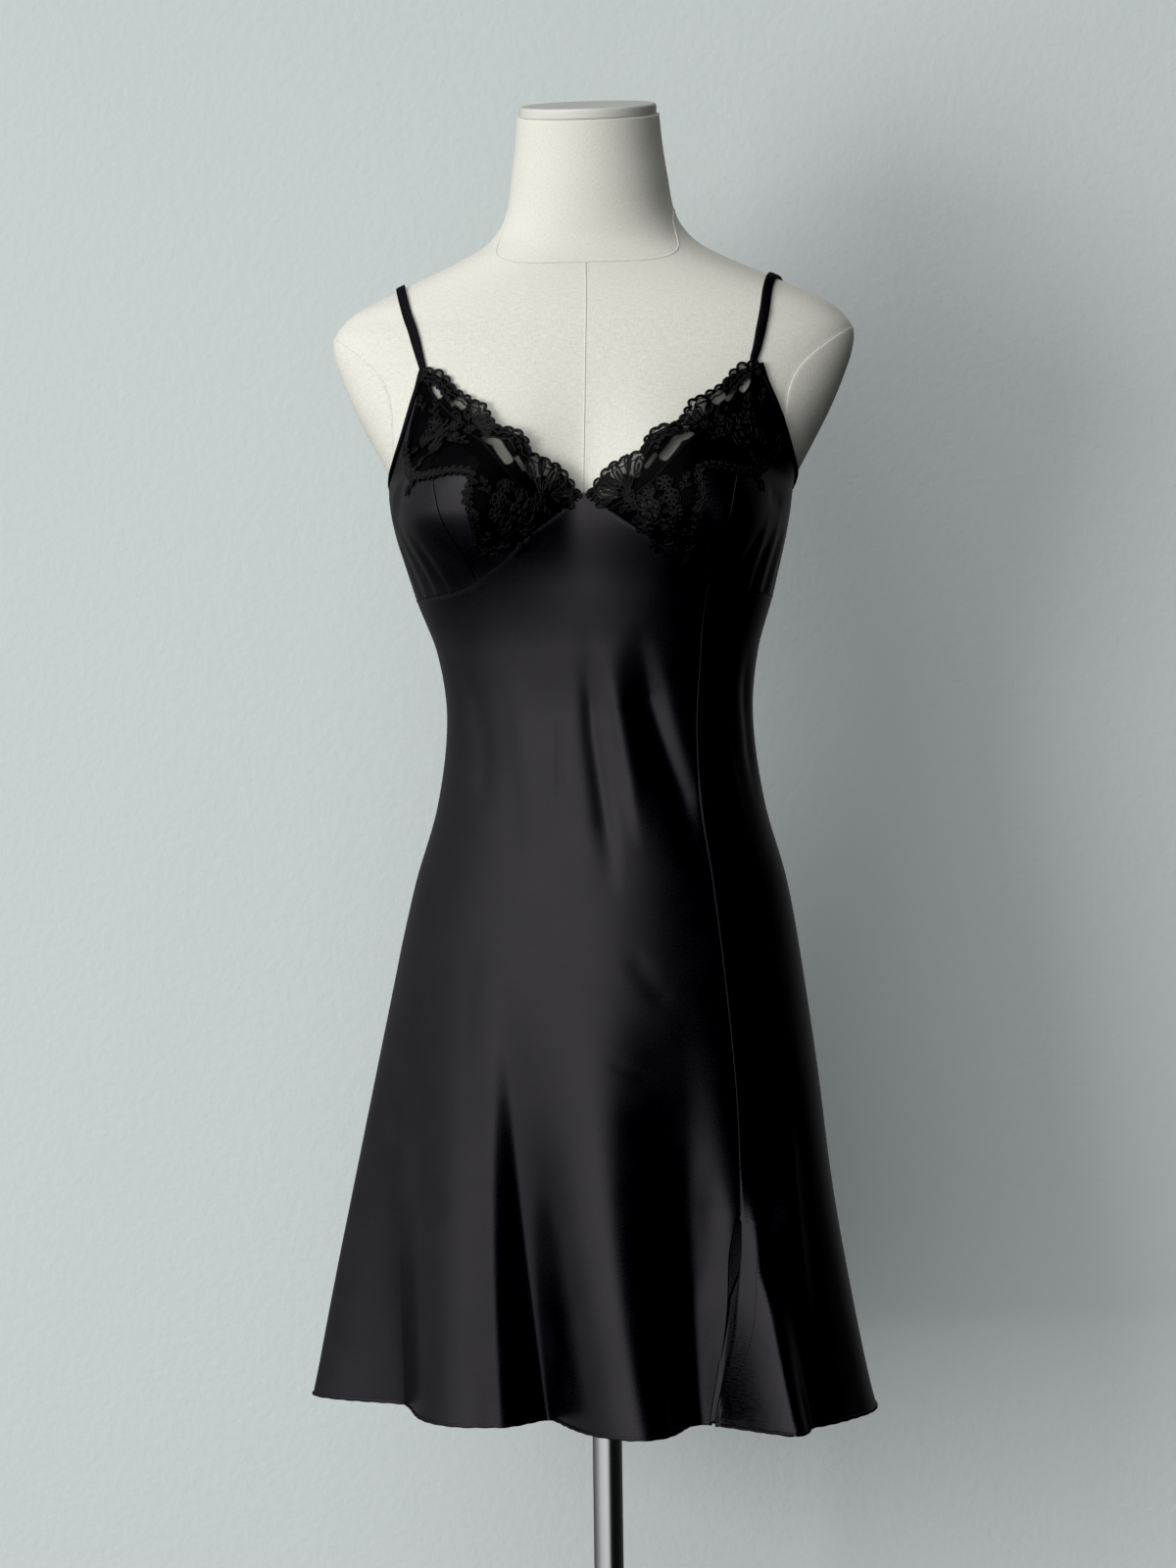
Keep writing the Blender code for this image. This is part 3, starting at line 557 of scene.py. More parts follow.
SHARED_FOLDS = (
    # crest at the wearer's right side seam, and the deep valley in front of it
    Fold(-97, -95, 0.010, 0.93),
    Fold(-80, -66, -0.066, 0.90),
    # the shallow wave that runs into the second deep valley
    Fold(-36, -44, -0.0225, 0.92),
    Fold(-25, -34, -0.029, 0.88),
    Fold(-14.5, -28, -0.066, 0.88),
    # the broad crest at the middle of the front
    Fold(18, 2, 0.022, 0.86),
    # the even waves round the back
    Fold(100, 100, 0.004, 0.90),
    Fold(118, 116, -0.016, 0.90),
    Fold(138, 138, 0.010, 0.90),
    Fold(160, 158, -0.014, 0.88),
    Fold(180, 180, 0.008, 0.88),
    Fold(200, 200, -0.014, 0.90),
    Fold(221, 220, 0.010, 0.88),
    Fold(242, 242, -0.018, 0.90),
)
FRONT_FOLDS = (  # the valley before the slit, which ends under the side panel
    Fold(41, 30, -0.030, 0.88),
    Fold(52, 46, 0.0, 0.88),
)
SIDE_FOLDS = (  # the side panel stands forward beside the slit and flattens to the side seam
    Fold(43.2, 47, -0.018, 0.72),
    Fold(47, 53, 0.048, 0.74),
    Fold(57, 62, 0.026, 0.80),
    Fold(72, 74, 0.022, 0.85),
)


class ClothSurface:
    """The outer form of the dress: rings with a bust, folds and creases."""

    TOUCHES_ABOVE = 0.80
    CLEARANCE = 0.0015
    TOUCH_BLEND = 0.0020

    def __init__(self, folds: Sequence[Fold] = (), creases: Sequence[Crease] = ()) -> None:
        """Keeps what shapes this stretch of cloth.

        Args:
            folds: The large folds of the skirt beyond those that all panels share.
            creases: The finer creases.
        """
        self.folds = sorted(SHARED_FOLDS + tuple(folds), key=lambda fold: fold.azimuth_hem)
        self.creases = tuple(creases)

    def fold_offset(self, azimuth: Array, height: Array) -> Array:
        """How far the folds move the cloth out of its rings."""
        tops = np.array([fold.top for fold in self.folds])
        t = np.clip((height[..., None] - HEM) / (tops - HEM), 0, 1)
        low = np.array([fold.azimuth_hem for fold in self.folds])
        high = np.array([fold.azimuth_top for fold in self.folds])
        lines = low + (high - low) * t
        offsets = np.array([fold.offset_hem for fold in self.folds]) * (1 - t) ** 1.3
        lines = np.concatenate([lines, lines[..., :1] + 360], -1)
        offsets = np.concatenate([offsets, offsets[..., :1]], -1)
        turned = (azimuth - lines[..., 0]) % 360 + lines[..., 0]
        after = np.clip((lines <= turned[..., None]).sum(-1), 1, len(self.folds))[..., None]
        start, end = (np.take_along_axis(lines, after - k, -1)[..., 0] for k in (1, 0))
        offset_start, offset_end = (np.take_along_axis(offsets, after - k, -1)[..., 0] for k in (1, 0))
        share = 0.5 - 0.5 * np.cos(math.pi * (turned - start) / (end - start))
        return offset_start + (offset_end - offset_start) * share

    def points(self, azimuth: Array, height: Array) -> Array:
        """Where the surface is.

        Args:
            azimuth: Azimuths, in degrees.
            height: Heights, in metres, of the same shape.

        Returns:
            The points, with X, Y and Z last.
        """
        azimuth, height = np.broadcast_arrays(np.asarray(azimuth, float), np.asarray(height, float))
        ring = CLOTH_RINGS.at(height)
        radius = ring_radius(azimuth, ring) + bust_rise(azimuth, height, 0.046)
        radius = radius + self.fold_offset(azimuth, height)
        turn = np.radians(azimuth)
        resting = form_radius(azimuth, height) + self.CLEARANCE - ring[..., 5] * np.sin(turn)
        touched = (radius + resting + np.hypot(radius - resting, self.TOUCH_BLEND)) / 2
        radius = np.where(height > self.TOUCHES_ABOVE, touched, radius)
        for crease in self.creases:
            radius = radius + crease.offset(azimuth, height)
        return np.stack([ring[..., 5] + radius * np.sin(turn), -radius * np.cos(turn), height], -1)

    def normals(self, azimuth: Array, height: Array) -> Array:
        """The outward directions of the surface."""
        azimuth, height = np.asarray(azimuth, float), np.asarray(height, float)
        turn, rise = 0.25, 0.0006
        across = self.points(azimuth + turn, height) - self.points(azimuth - turn, height)
        up = self.points(azimuth, height + rise) - self.points(azimuth, height - rise)
        return unit(np.cross(across, up))

    def lifted(self, azimuth: Array, height: Array, lift: Array | float) -> Array:
        """Points a distance outside the surface."""
        return self.points(azimuth, height) + self.normals(azimuth, height) * np.asarray(lift)[..., None]

    def clung(self, points: Array, lift: Array | float) -> Array:
        """Points brought onto the surface along its radius, then lifted off it."""
        height = points[..., 2]
        centre = CLOTH_RINGS.column(height, 5)
        azimuth = np.degrees(np.arctan2(points[..., 0] - centre, -points[..., 1]))
        return self.lifted(azimuth, height, lift)

    def flat_to_cloth(self, drawing: Array, azimuth: float, height: float) -> Array:
        """Lays a flat drawing against the cloth.

        Args:
            drawing: Points in metres, X towards rising azimuth and Y up.
            azimuth: Where the drawing's origin goes.
            height: Its height there.

        Returns:
            Points beside the surface, to be clung to it.
        """
        origin = self.points(azimuth, height)
        normal = self.normals(azimuth, height)
        across = unit(np.cross(np.array([0.0, 0.0, 1.0]), normal))
        up = np.cross(normal, across)
        return origin + drawing[..., :1] * across + drawing[..., 1:2] * up


class FormShape:
    """The linen form: torso rings, shoulders and neck."""

    ARM_CENTRE = (0.005, 1.297)
    ARM_HALF_DEPTH = 0.056
    ARM_HALF_HEIGHT = 0.067

    @staticmethod
    def ring(height: float, sides: int) -> Array:
        """A level ring of the torso, spaced evenly along an ellipse's own angle."""
        row = FORM_RINGS.at(height)
        turn = np.linspace(0, math.tau, sides, endpoint=False)
        depth = np.where(np.cos(turn) >= 0, row[2], row[3])
        azimuth = np.degrees(np.arctan2(row[1] * np.sin(turn), depth * np.cos(turn)))
        radius = form_radius(azimuth, np.full(sides, height))
        turned = np.radians(azimuth)
        return np.stack([radius * np.sin(turned), -radius * np.cos(turned), np.full(sides, height)], -1)

    @staticmethod
    def neck_ring(row: Sequence[float], sides: int) -> Array:
        """A tipped ring of the neck."""
        height, half_width, half_depth, centre_y, tilt = row
        turn = np.linspace(0, math.tau, sides, endpoint=False)
        back, tip = -half_depth * np.cos(turn), math.radians(tilt)
        return np.stack(
            [half_width * np.sin(turn), centre_y + back * math.cos(tip), height + back * math.sin(tip)], -1
        )

    @classmethod
    def rings(cls, sides: int) -> Array:
        """All rings from the bottom to the neck's top, spaced for the eye."""
        heights = np.concatenate(
            [
                np.linspace(FORM_BOTTOM, 1.150, 40, endpoint=False),
                np.linspace(1.150, 1.361, 84, endpoint=False),
                np.linspace(1.361, 1.404, 30, endpoint=False),
            ]
        )
        level = np.stack([cls.ring(height, sides) for height in heights])
        guides = [cls.ring(height, sides) for height in (1.3925, 1.404, 1.416)]
        guides += [cls.neck_ring(row, sides) for row in NECK_RINGS]
        keys = np.array([1.3925, 1.404, 1.416, *(row[0] for row in NECK_RINGS)])
        table = SmoothTable(np.column_stack([keys, np.stack(guides).reshape(len(keys), -1)]))
        neck = table.at(np.linspace(1.404, keys[-1], 60))[:, 1:].reshape(-1, sides, 3)
        return np.concatenate([level, neck])

    @staticmethod
    def level(points: Array) -> Array:
        """Below 1 inside the torso, above 1 outside it."""
        azimuth = np.degrees(np.arctan2(points[..., 0], -points[..., 1]))
        radius = form_radius(azimuth, points[..., 2])
        inside = np.hypot(points[..., 0], points[..., 1]) / radius
        return np.where(points[..., 2] > FORM_RINGS.rows[-1, 0], 2.0, inside)

    @classmethod
    def meet(cls, start: Array, end: Array) -> Array:
        """Where lines from inside the torso leave it.

        Args:
            start: Points inside.
            end: Points outside.

        Returns:
            The points on the torso.
        """
        near, far = np.zeros(start.shape[:-1]), np.ones(start.shape[:-1])
        for _ in range(30):
            middle = (near + far) / 2
            inside = cls.level(start + (end - start) * middle[..., None]) < 1
            near, far = np.where(inside, middle, near), np.where(inside, far, middle)
        return start + (end - start) * near[..., None]


# Materials


def linear(hex_colour: str) -> tuple[float, float, float, float]:
    """An sRGB hex value as linear red, green, blue and alpha."""
    parts = [int(hex_colour[i : i + 2], 16) / 255 for i in (1, 3, 5)]
    values = [p / 12.92 if p <= 0.04045 else ((p + 0.055) / 1.055) ** 2.4 for p in parts]
    return (*values, 1.0)


def add(
    tree: bpy.types.NodeTree, kind: str, inputs: dict | None = None, **settings: object
) -> bpy.types.Node:
    """Adds a node with its settings, values and links.

    Args:
        tree: The node tree.
        kind: The node's type name.
        inputs: A value, or the output socket to link from, for inputs by name or number.
        **settings: The node's own properties.

    Returns:
        The node.
    """
    node = tree.nodes.new(kind)
    for name, value in settings.items():
        setattr(node, name, value)
    for key, value in (inputs or {}).items():
        if isinstance(value, bpy.types.NodeSocket):
            tree.links.new(value, node.inputs[key])
        else:
            node.inputs[key].default_value = value
    return node


def new_material(name: str) -> tuple[bpy.types.Material, bpy.types.NodeTree, bpy.types.Node]:
    """An empty material with a Principled shader on its output."""
    material = bpy.data.materials.new(name)
    material.use_nodes = True
    tree = material.node_tree
    tree.nodes.clear()
    shader = add(tree, "ShaderNodeBsdfPrincipled")
    add(tree, "ShaderNodeOutputMaterial", {"Surface": shader.outputs["BSDF"]})
    return material, tree, shader


def set_shader(shader: bpy.types.Node, **values: object) -> None:
    """Sets the shader's own sockets; an underscore in a name stands for a space."""
    for name, value in values.items():
        shader.inputs[name.replace("_", " ")].default_value = value


@dataclass(frozen=True)
class Satin:
    """Polyester satin, woven with long floats on its face.

    The floats lie side by side, so it has a broad soft gloss that stretches across them, a
    black that turns a little violet in the light and a dull reverse.
    """

    name: str = "black_satin"
    colour: str = "#020203"
    worn: str = "#0c0b0f"
    roughness: float = 0.30
    sheen: float = 0.0
    specular: float = 0.45
    float_spacing: float = 0.0009  # drawn coarser than the real 0.1 mm, to show at all

    def build(self) -> bpy.types.Material:
        """Makes the material."""
        material, tree, shader = new_material(self.name)
        place = add(tree, "ShaderNodeTexCoord")
        floats = add(tree, "ShaderNodeMapping", {"Vector": place.outputs["UV"], "Scale": (1.0, 0.7, 1.0)})
        weave = add(
            tree,
            "ShaderNodeTexNoise",
            {"Vector": floats.outputs[0], "Scale": 1 / self.float_spacing, "Detail": 2.0},
        )
        shade = add(
            tree, "ShaderNodeTexNoise", {"Vector": place.outputs["Object"], "Scale": 26.0, "Detail": 3.0}
        )
        both = add(
            tree, "ShaderNodeMath", {0: shade.outputs["Fac"], 1: weave.outputs["Fac"]}, operation="MULTIPLY"
        )
        share = add(
            tree, "ShaderNodeMapRange", {"Value": both.outputs[0], "From Min": 0.15, "From Max": 0.36}
        )
        tone = add(
            tree,
            "ShaderNodeMix",
            {"Factor": share.outputs[0], "A": linear(self.colour), "B": linear(self.worn)},
            data_type="RGBA",
        )
        tree.links.new(tone.outputs["Result"], shader.inputs["Base Color"])
        rough = add(
            tree,
            "ShaderNodeMapRange",
            {
                "Value": weave.outputs["Fac"],
                "From Min": 0.3,
                "From Max": 0.7,
                "To Min": self.roughness - 0.05,
                "To Max": self.roughness + 0.09,
            },
        )
        tree.links.new(rough.outputs["Result"], shader.inputs["Roughness"])
        bump = add(
            tree, "ShaderNodeBump", {"Height": weave.outputs["Fac"], "Strength": 0.5, "Distance": 0.00014}
        )
        tree.links.new(bump.outputs["Normal"], shader.inputs["Normal"])
        set_shader(
            shader,
            Specular_IOR_Level=self.specular,
            Specular_Tint=linear("#f7f0ff"),
            Sheen_Weight=self.sheen,
            Sheen_Roughness=0.45,
            Sheen_Tint=linear("#8f8a99"),
        )
        return material


@dataclass(frozen=True)
class Yarn:
    """Twisted rayon or polyester yarn of the lace, the overlock and the stitches: fine ply, small glints."""

    name: str = "lace_yarn"
    colour: str = "#030304"
    roughness: float = 0.26
    ply: float = 0.0007
    specular: float = 0.24

    def build(self) -> bpy.types.Material:
        """Makes the material."""
        material, tree, shader = new_material(self.name)
        place = add(tree, "ShaderNodeTexCoord")
        twist = add(
            tree,
            "ShaderNodeTexNoise",
            {"Vector": place.outputs["Object"], "Scale": 1 / self.ply, "Detail": 2.0},
        )
        tone = add(
            tree,
            "ShaderNodeValToRGB",
            {"Fac": twist.outputs["Fac"]},
        )
        tone.color_ramp.elements[0].color = linear(self.colour)
        tone.color_ramp.elements[0].position = 0.35
        tone.color_ramp.elements[1].color = linear("#0b0b0d")
        tone.color_ramp.elements[1].position = 0.75
        bump = add(
            tree, "ShaderNodeBump", {"Height": twist.outputs["Fac"], "Strength": 0.6, "Distance": 0.0002}
        )
        tree.links.new(tone.outputs["Color"], shader.inputs["Base Color"])
        tree.links.new(bump.outputs["Normal"], shader.inputs["Normal"])
        set_shader(shader, Roughness=self.roughness, Specular_IOR_Level=self.specular)
        return material


@dataclass(frozen=True)
class Tulle:
    """Fine nylon tulle under the lace: sheer where it shows alone, nearly solid where it is worked."""

    name: str = "sheer_tulle"
    colour: str = "#030304"

    def build(self) -> bpy.types.Material:
        """Makes the material."""
        material, tree, shader = new_material(self.name)
        place = add(tree, "ShaderNodeTexCoord")
        cells = add(
            tree, "ShaderNodeTexNoise", {"Vector": place.outputs["Object"], "Scale": 900.0, "Detail": 1.0}
        )
        tone = add(
            tree,
            "ShaderNodeMix",
            {"Factor": cells.outputs["Fac"], "A": linear(self.colour), "B": linear("#060607")},
            data_type="RGBA",
        )
        tree.links.new(tone.outputs["Result"], shader.inputs["Base Color"])
        cover = add(tree, "ShaderNodeAttribute", attribute_name=COVER)
        tree.links.new(cover.outputs["Fac"], shader.inputs["Alpha"])
        set_shader(shader, Roughness=0.6, Specular_IOR_Level=0.06)
        return material


@dataclass(frozen=True)
class Linen:
    """Unbleached linen glued and stretched over the form: plain weave with slubs, quite matt."""

    name: str = "natural_linen"
    colour: str = "#dad9d1"
    slub: str = "#c4c1b6"
    thread_spacing: float = 0.0009  # drawn coarser than the real 0.5 mm, to show at all

    def build(self) -> bpy.types.Material:
        """Makes the material."""
        material, tree, shader = new_material(self.name)
        place = add(tree, "ShaderNodeTexCoord")
        scale = 1 / self.thread_spacing
        weft_place = add(
            tree, "ShaderNodeMapping", {"Vector": place.outputs["UV"], "Scale": (0.22, 1.0, 1.0)}
        )
        warp_place = add(
            tree, "ShaderNodeMapping", {"Vector": place.outputs["UV"], "Scale": (1.0, 0.25, 1.0)}
        )
        weft = add(
            tree, "ShaderNodeTexNoise", {"Vector": weft_place.outputs[0], "Scale": scale, "Detail": 1.0}
        )
        warp = add(
            tree, "ShaderNodeTexNoise", {"Vector": warp_place.outputs[0], "Scale": scale, "Detail": 1.0}
        )
        weave = add(tree, "ShaderNodeMath", {0: weft.outputs["Fac"], 1: warp.outputs["Fac"]}, operation="ADD")
        flecks = add(
            tree,
            "ShaderNodeTexNoise",
            {"Vector": place.outputs["UV"], "Scale": 260.0, "Detail": 4.0, "Roughness": 0.7},
        )
        fleck_share = add(
            tree, "ShaderNodeMapRange", {
                "Value": flecks.outputs["Fac"], "From Min": 0.60, "From Max": 0.72, "To Max": 0.5
            }
        )
        weave_share = add(
            tree, "ShaderNodeMapRange", {
                "Value": weave.outputs[0], "From Min": 0.75, "From Max": 1.25, "To Min": 0.55, "To Max": 0.0
            }
        )
        share = add(
            tree,
            "ShaderNodeMath",
            {0: fleck_share.outputs[0], 1: weave_share.outputs[0]},
            operation="ADD",
            use_clamp=True,
        )
        tone = add(
            tree,
            "ShaderNodeMix",
            {"Factor": share.outputs[0], "A": linear(self.colour), "B": linear(self.slub)},
            data_type="RGBA",
        )
        bump = add(tree, "ShaderNodeBump", {"Height": weave.outputs[0], "Strength": 0.5, "Distance": 0.0003})
        tree.links.new(tone.outputs["Result"], shader.inputs["Base Color"])
        tree.links.new(bump.outputs["Normal"], shader.inputs["Normal"])
        set_shader(shader, Roughness=0.88, Specular_IOR_Level=0.25, Sheen_Weight=0.08, Sheen_Roughness=0.6)
        return material


@dataclass(frozen=True)
class Paint:
    """White satin paint on turned board, brushed on: fine drag lines and a soft gloss."""

    name: str = "white_satin_paint"
    colour: str = "#d2d3ce"
    roughness: float = 0.42

    def build(self) -> bpy.types.Material:
        """Makes the material."""
        material, tree, shader = new_material(self.name)
        place = add(tree, "ShaderNodeTexCoord")
        drag = add(
            tree, "ShaderNodeMapping", {"Vector": place.outputs["Object"], "Scale": (40.0, 420.0, 420.0)}
        )
        marks = add(tree, "ShaderNodeTexNoise", {"Vector": drag.outputs[0], "Scale": 1.0, "Detail": 3.0})
        tone = add(
            tree,
            "ShaderNodeMix",
            {"Factor": marks.outputs["Fac"], "A": linear(self.colour), "B": linear("#c9c9c2")},
            data_type="RGBA",
        )
        bump = add(
            tree, "ShaderNodeBump", {"Height": marks.outputs["Fac"], "Strength": 0.15, "Distance": 0.0003}
        )
        tree.links.new(tone.outputs["Result"], shader.inputs["Base Color"])
        tree.links.new(bump.outputs["Normal"], shader.inputs["Normal"])
        set_shader(shader, Roughness=self.roughness)
        return material


@dataclass(frozen=True)
class Plated:
    """Steel tube or plate: drawn or brushed along one direction, then plated or left bare."""

    name: str
    colour: str
    roughness: float
    brushed: tuple[float, float, float]
    depth: float

    def build(self) -> bpy.types.Material:
        """Makes the material."""
        material, tree, shader = new_material(self.name)
        place = add(tree, "ShaderNodeTexCoord")
        lines = add(tree, "ShaderNodeMapping", {"Vector": place.outputs["Object"], "Scale": self.brushed})
        grain = add(tree, "ShaderNodeTexNoise", {"Vector": lines.outputs[0], "Scale": 1.0, "Detail": 3.0})
        rough = add(
            tree,
            "ShaderNodeMapRange",
            {
                "Value": grain.outputs["Fac"],
                "From Min": 0.3,
                "From Max": 0.7,
                "To Min": self.roughness * 0.7,
                "To Max": self.roughness * 1.4,
            },
        )
        bump = add(
            tree,
            "ShaderNodeBump",
            {"Height": grain.outputs["Fac"], "Strength": self.depth, "Distance": 0.0001},
        )
        tree.links.new(rough.outputs["Result"], shader.inputs["Roughness"])
        tree.links.new(bump.outputs["Normal"], shader.inputs["Normal"])
        set_shader(shader, Base_Color=linear(self.colour), Metallic=1.0)
        return material


@dataclass
class Finishes:
    """Every material of the part, made once."""

    satin: bpy.types.Material = field(default_factory=lambda: Satin().build())
    reverse: bpy.types.Material = field(
        default_factory=lambda: Satin("satin_reverse", "#060607", "#08080a", 0.60, 0.02, 0.25).build()
    )
    binding: bpy.types.Material = field(
        default_factory=lambda: Satin("satin_tape", "#040405", "#060607", 0.50, 0.0, 0.12).build()
    )
    yarn: bpy.types.Material = field(default_factory=lambda: Yarn().build())
    nylon: bpy.types.Material = field(
        default_factory=lambda: Yarn("net_nylon", "#030304", 0.6, 0.0004, 0.06).build()
    )
    tulle: bpy.types.Material = field(default_factory=lambda: Tulle().build())
    linen: bpy.types.Material = field(default_factory=lambda: Linen().build())
    linen_thread: bpy.types.Material = field(
        default_factory=lambda: Linen("linen_seam_thread", "#cbc8bd", "#b9b5a8", 0.0006).build()
    )
    paint: bpy.types.Material = field(default_factory=lambda: Paint().build())
    chrome: bpy.types.Material = field(
        default_factory=lambda: Plated(
            "bright_chrome_plate", "#b9bbbb", 0.16, (900.0, 900.0, 6.0), 0.10
        ).build()
    )
    steel: bpy.types.Material = field(
        default_factory=lambda: Plated("brushed_steel", "#9a9b9c", 0.32, (60.0, 1400.0, 1400.0), 0.20).build()
    )


# Geometry Nodes


class NodeTool:
    """A Geometry Nodes tree with named inputs, run once on a mesh and left as a plain mesh."""

    def __init__(self, name: str, sizes: Sequence[str], counts: Sequence[str] = ()) -> None:
        """Makes the tree's inputs.

        Args:
            name: The tree's name.
            sizes: Names of the inputs that hold a number.
            counts: Names of the inputs that hold a whole number.
        """
        self.tree = bpy.data.node_groups.new(name, "GeometryNodeTree")
        face = self.tree.interface
        face.new_socket(name="Geometry", in_out="INPUT", socket_type="NodeSocketGeometry")
        for size in sizes:
            face.new_socket(name=size, in_out="INPUT", socket_type="NodeSocketFloat")
        for count in counts:
            face.new_socket(name=count, in_out="INPUT", socket_type="NodeSocketInt")
        face.new_socket(name="Material", in_out="INPUT", socket_type="NodeSocketMaterial")
        face.new_socket(name="Geometry", in_out="OUTPUT", socket_type="NodeSocketGeometry")
        self.given = self.tree.nodes.new("NodeGroupInput")

    def add(self, kind: str, inputs: dict | None = None, **settings: object) -> bpy.types.Node:
        """Adds a node to this tree."""
        return add(self.tree, kind, inputs, **settings)

    def end(self, geometry: bpy.types.NodeSocket) -> None:
        """Closes the tree with Realize Instances and Set Material."""
        real = self.add("GeometryNodeRealizeInstances", {0: geometry})
        smooth = self.add("GeometryNodeSetShadeSmooth", {0: real.outputs[0]})
        dressed = self.add(
            "GeometryNodeSetMaterial", {
                "Geometry": smooth.outputs[0], "Material": self.given.outputs["Material"]
            }
        )
        self.add("NodeGroupOutput", {0: dressed.outputs[0]})

    def run(self, obj: bpy.types.Object, material: bpy.types.Material, **values: float) -> bpy.types.Object:
        """Applies the tree to an object.

        Args:
            obj: The mesh to work on; the result takes its place and name.
            material: The material of what the tree makes.
            **values: The inputs; an underscore in a name stands for a space.

        Returns:
            The same object, with a plain mesh.
        """
        modifier = obj.modifiers.new(self.tree.name, "NODES")
        modifier.node_group = self.tree
        wanted = {name.replace("_", " "): value for name, value in values.items()} | {"Material": material}
        for socket in self.tree.interface.items_tree:
            if socket.in_out == "INPUT" and socket.name in wanted:
                modifier[socket.identifier] = wanted[socket.name]
        obj.update_tag()
        depsgraph = bpy.context.evaluated_depsgraph_get()
        mesh = bpy.data.meshes.new_from_object(obj.evaluated_get(depsgraph))
        obj.modifiers.clear()
        obj.data = mesh
        mesh.name = obj.name
        return obj


def cord_tool() -> NodeTool:
    """Round cords along the edges of a mesh."""
    tool = NodeTool("cords_along_edges", ("Diameter",), ("Sides",))
    curve = tool.add("GeometryNodeMeshToCurve", {"Mesh": tool.given.outputs["Geometry"]})
    half = tool.add("ShaderNodeMath", {0: tool.given.outputs["Diameter"], 1: 0.5}, operation="MULTIPLY")
    section = tool.add(
        "GeometryNodeCurvePrimitiveCircle",
        {"Resolution": tool.given.outputs["Sides"], "Radius": half.outputs[0]},
    )
    tube = tool.add(
        "GeometryNodeCurveToMesh",
        {"Curve": curve.outputs[0], "Profile Curve": section.outputs[0], "Fill Caps": True},
    )
    tool.end(tube.outputs[0])
    return tool


def follow_tangent(tool: NodeTool, axis: str) -> bpy.types.NodeSocket:
    """A rotation that points an instance's own axis along the curve."""
    tangent = tool.add("GeometryNodeInputTangent")
    return tool.add("FunctionNodeAlignRotationToVector", {"Vector": tangent.outputs[0]}, axis=axis).outputs[0]


def stitch_tool() -> NodeTool:
    """A row of plump stitches along the edges of a mesh."""
    tool = NodeTool("row_of_stitches", ("Pitch", "Length", "Diameter"))
    curve = tool.add("GeometryNodeMeshToCurve", {"Mesh": tool.given.outputs["Geometry"]})
    even = tool.add("GeometryNodeResampleCurve", {"Curve": curve.outputs[0]})
    even.mode = "LENGTH"
    tool.tree.links.new(tool.given.outputs["Pitch"], even.inputs["Length"])
    rotation = follow_tangent(tool, "X")
    bead = tool.add("GeometryNodeMeshUVSphere", {"Segments": 6, "Rings": 5, "Radius": 0.5})
    size = tool.add(
        "ShaderNodeCombineXYZ",
        {
            0: tool.given.outputs["Length"],
            1: tool.given.outputs["Diameter"],
            2: tool.given.outputs["Diameter"],
        },
    )
    placed = tool.add(
        "GeometryNodeInstanceOnPoints",
        {
            "Points": even.outputs[0],
            "Instance": bead.outputs[0],
            "Rotation": rotation,
            "Scale": size.outputs[0],
        },
    )
    tool.end(placed.outputs[0])
    return tool


def wrap_tool() -> NodeTool:
    """Rings of overlock thread round an edge."""
    tool = NodeTool("thread_wrapped_edge", ("Pitch", "Radius", "Thread", "Lean"))
    curve = tool.add("GeometryNodeMeshToCurve", {"Mesh": tool.given.outputs["Geometry"]})
    even = tool.add("GeometryNodeResampleCurve", {"Curve": curve.outputs[0]})
    even.mode = "LENGTH"
    tool.tree.links.new(tool.given.outputs["Pitch"], even.inputs["Length"])
    ring = tool.add(
        "GeometryNodeCurvePrimitiveCircle", {"Resolution": 9, "Radius": tool.given.outputs["Radius"]}
    )
    section = tool.add(
        "GeometryNodeCurvePrimitiveCircle", {"Resolution": 4, "Radius": tool.given.outputs["Thread"]}
    )
    hoop = tool.add(
        "GeometryNodeCurveToMesh", {"Curve": ring.outputs[0], "Profile Curve": section.outputs[0]}
    )
    lean = tool.add("ShaderNodeCombineXYZ", {0: tool.given.outputs["Lean"]})
    placed = tool.add(
        "GeometryNodeInstanceOnPoints",
        {"Points": even.outputs[0], "Instance": hoop.outputs[0], "Rotation": follow_tangent(tool, "Z")},
    )
    leaning = tool.add(
        "GeometryNodeRotateInstances", {"Instances": placed.outputs[0], "Rotation": lean.outputs[0]}
    )
    tool.end(leaning.outputs[0])
    return tool


def knot_tool() -> NodeTool:
    """A small round knot on each vertex of a mesh."""
    tool = NodeTool("knots_on_points", ("Radius",))
    points = tool.add("GeometryNodeMeshToPoints", {"Mesh": tool.given.outputs["Geometry"]})
    ball = tool.add("GeometryNodeMeshIcoSphere", {"Radius": tool.given.outputs["Radius"], "Subdivisions": 2})
    placed = tool.add(
        "GeometryNodeInstanceOnPoints", {"Points": points.outputs[0], "Instance": ball.outputs[0]}
    )
    tool.end(placed.outputs[0])
    return tool


@dataclass
class Tools:
    """The Geometry Nodes trees, made once."""

    cord: NodeTool = field(default_factory=cord_tool)
    stitch: NodeTool = field(default_factory=stitch_tool)
    wrap: NodeTool = field(default_factory=wrap_tool)
    knot: NodeTool = field(default_factory=knot_tool)


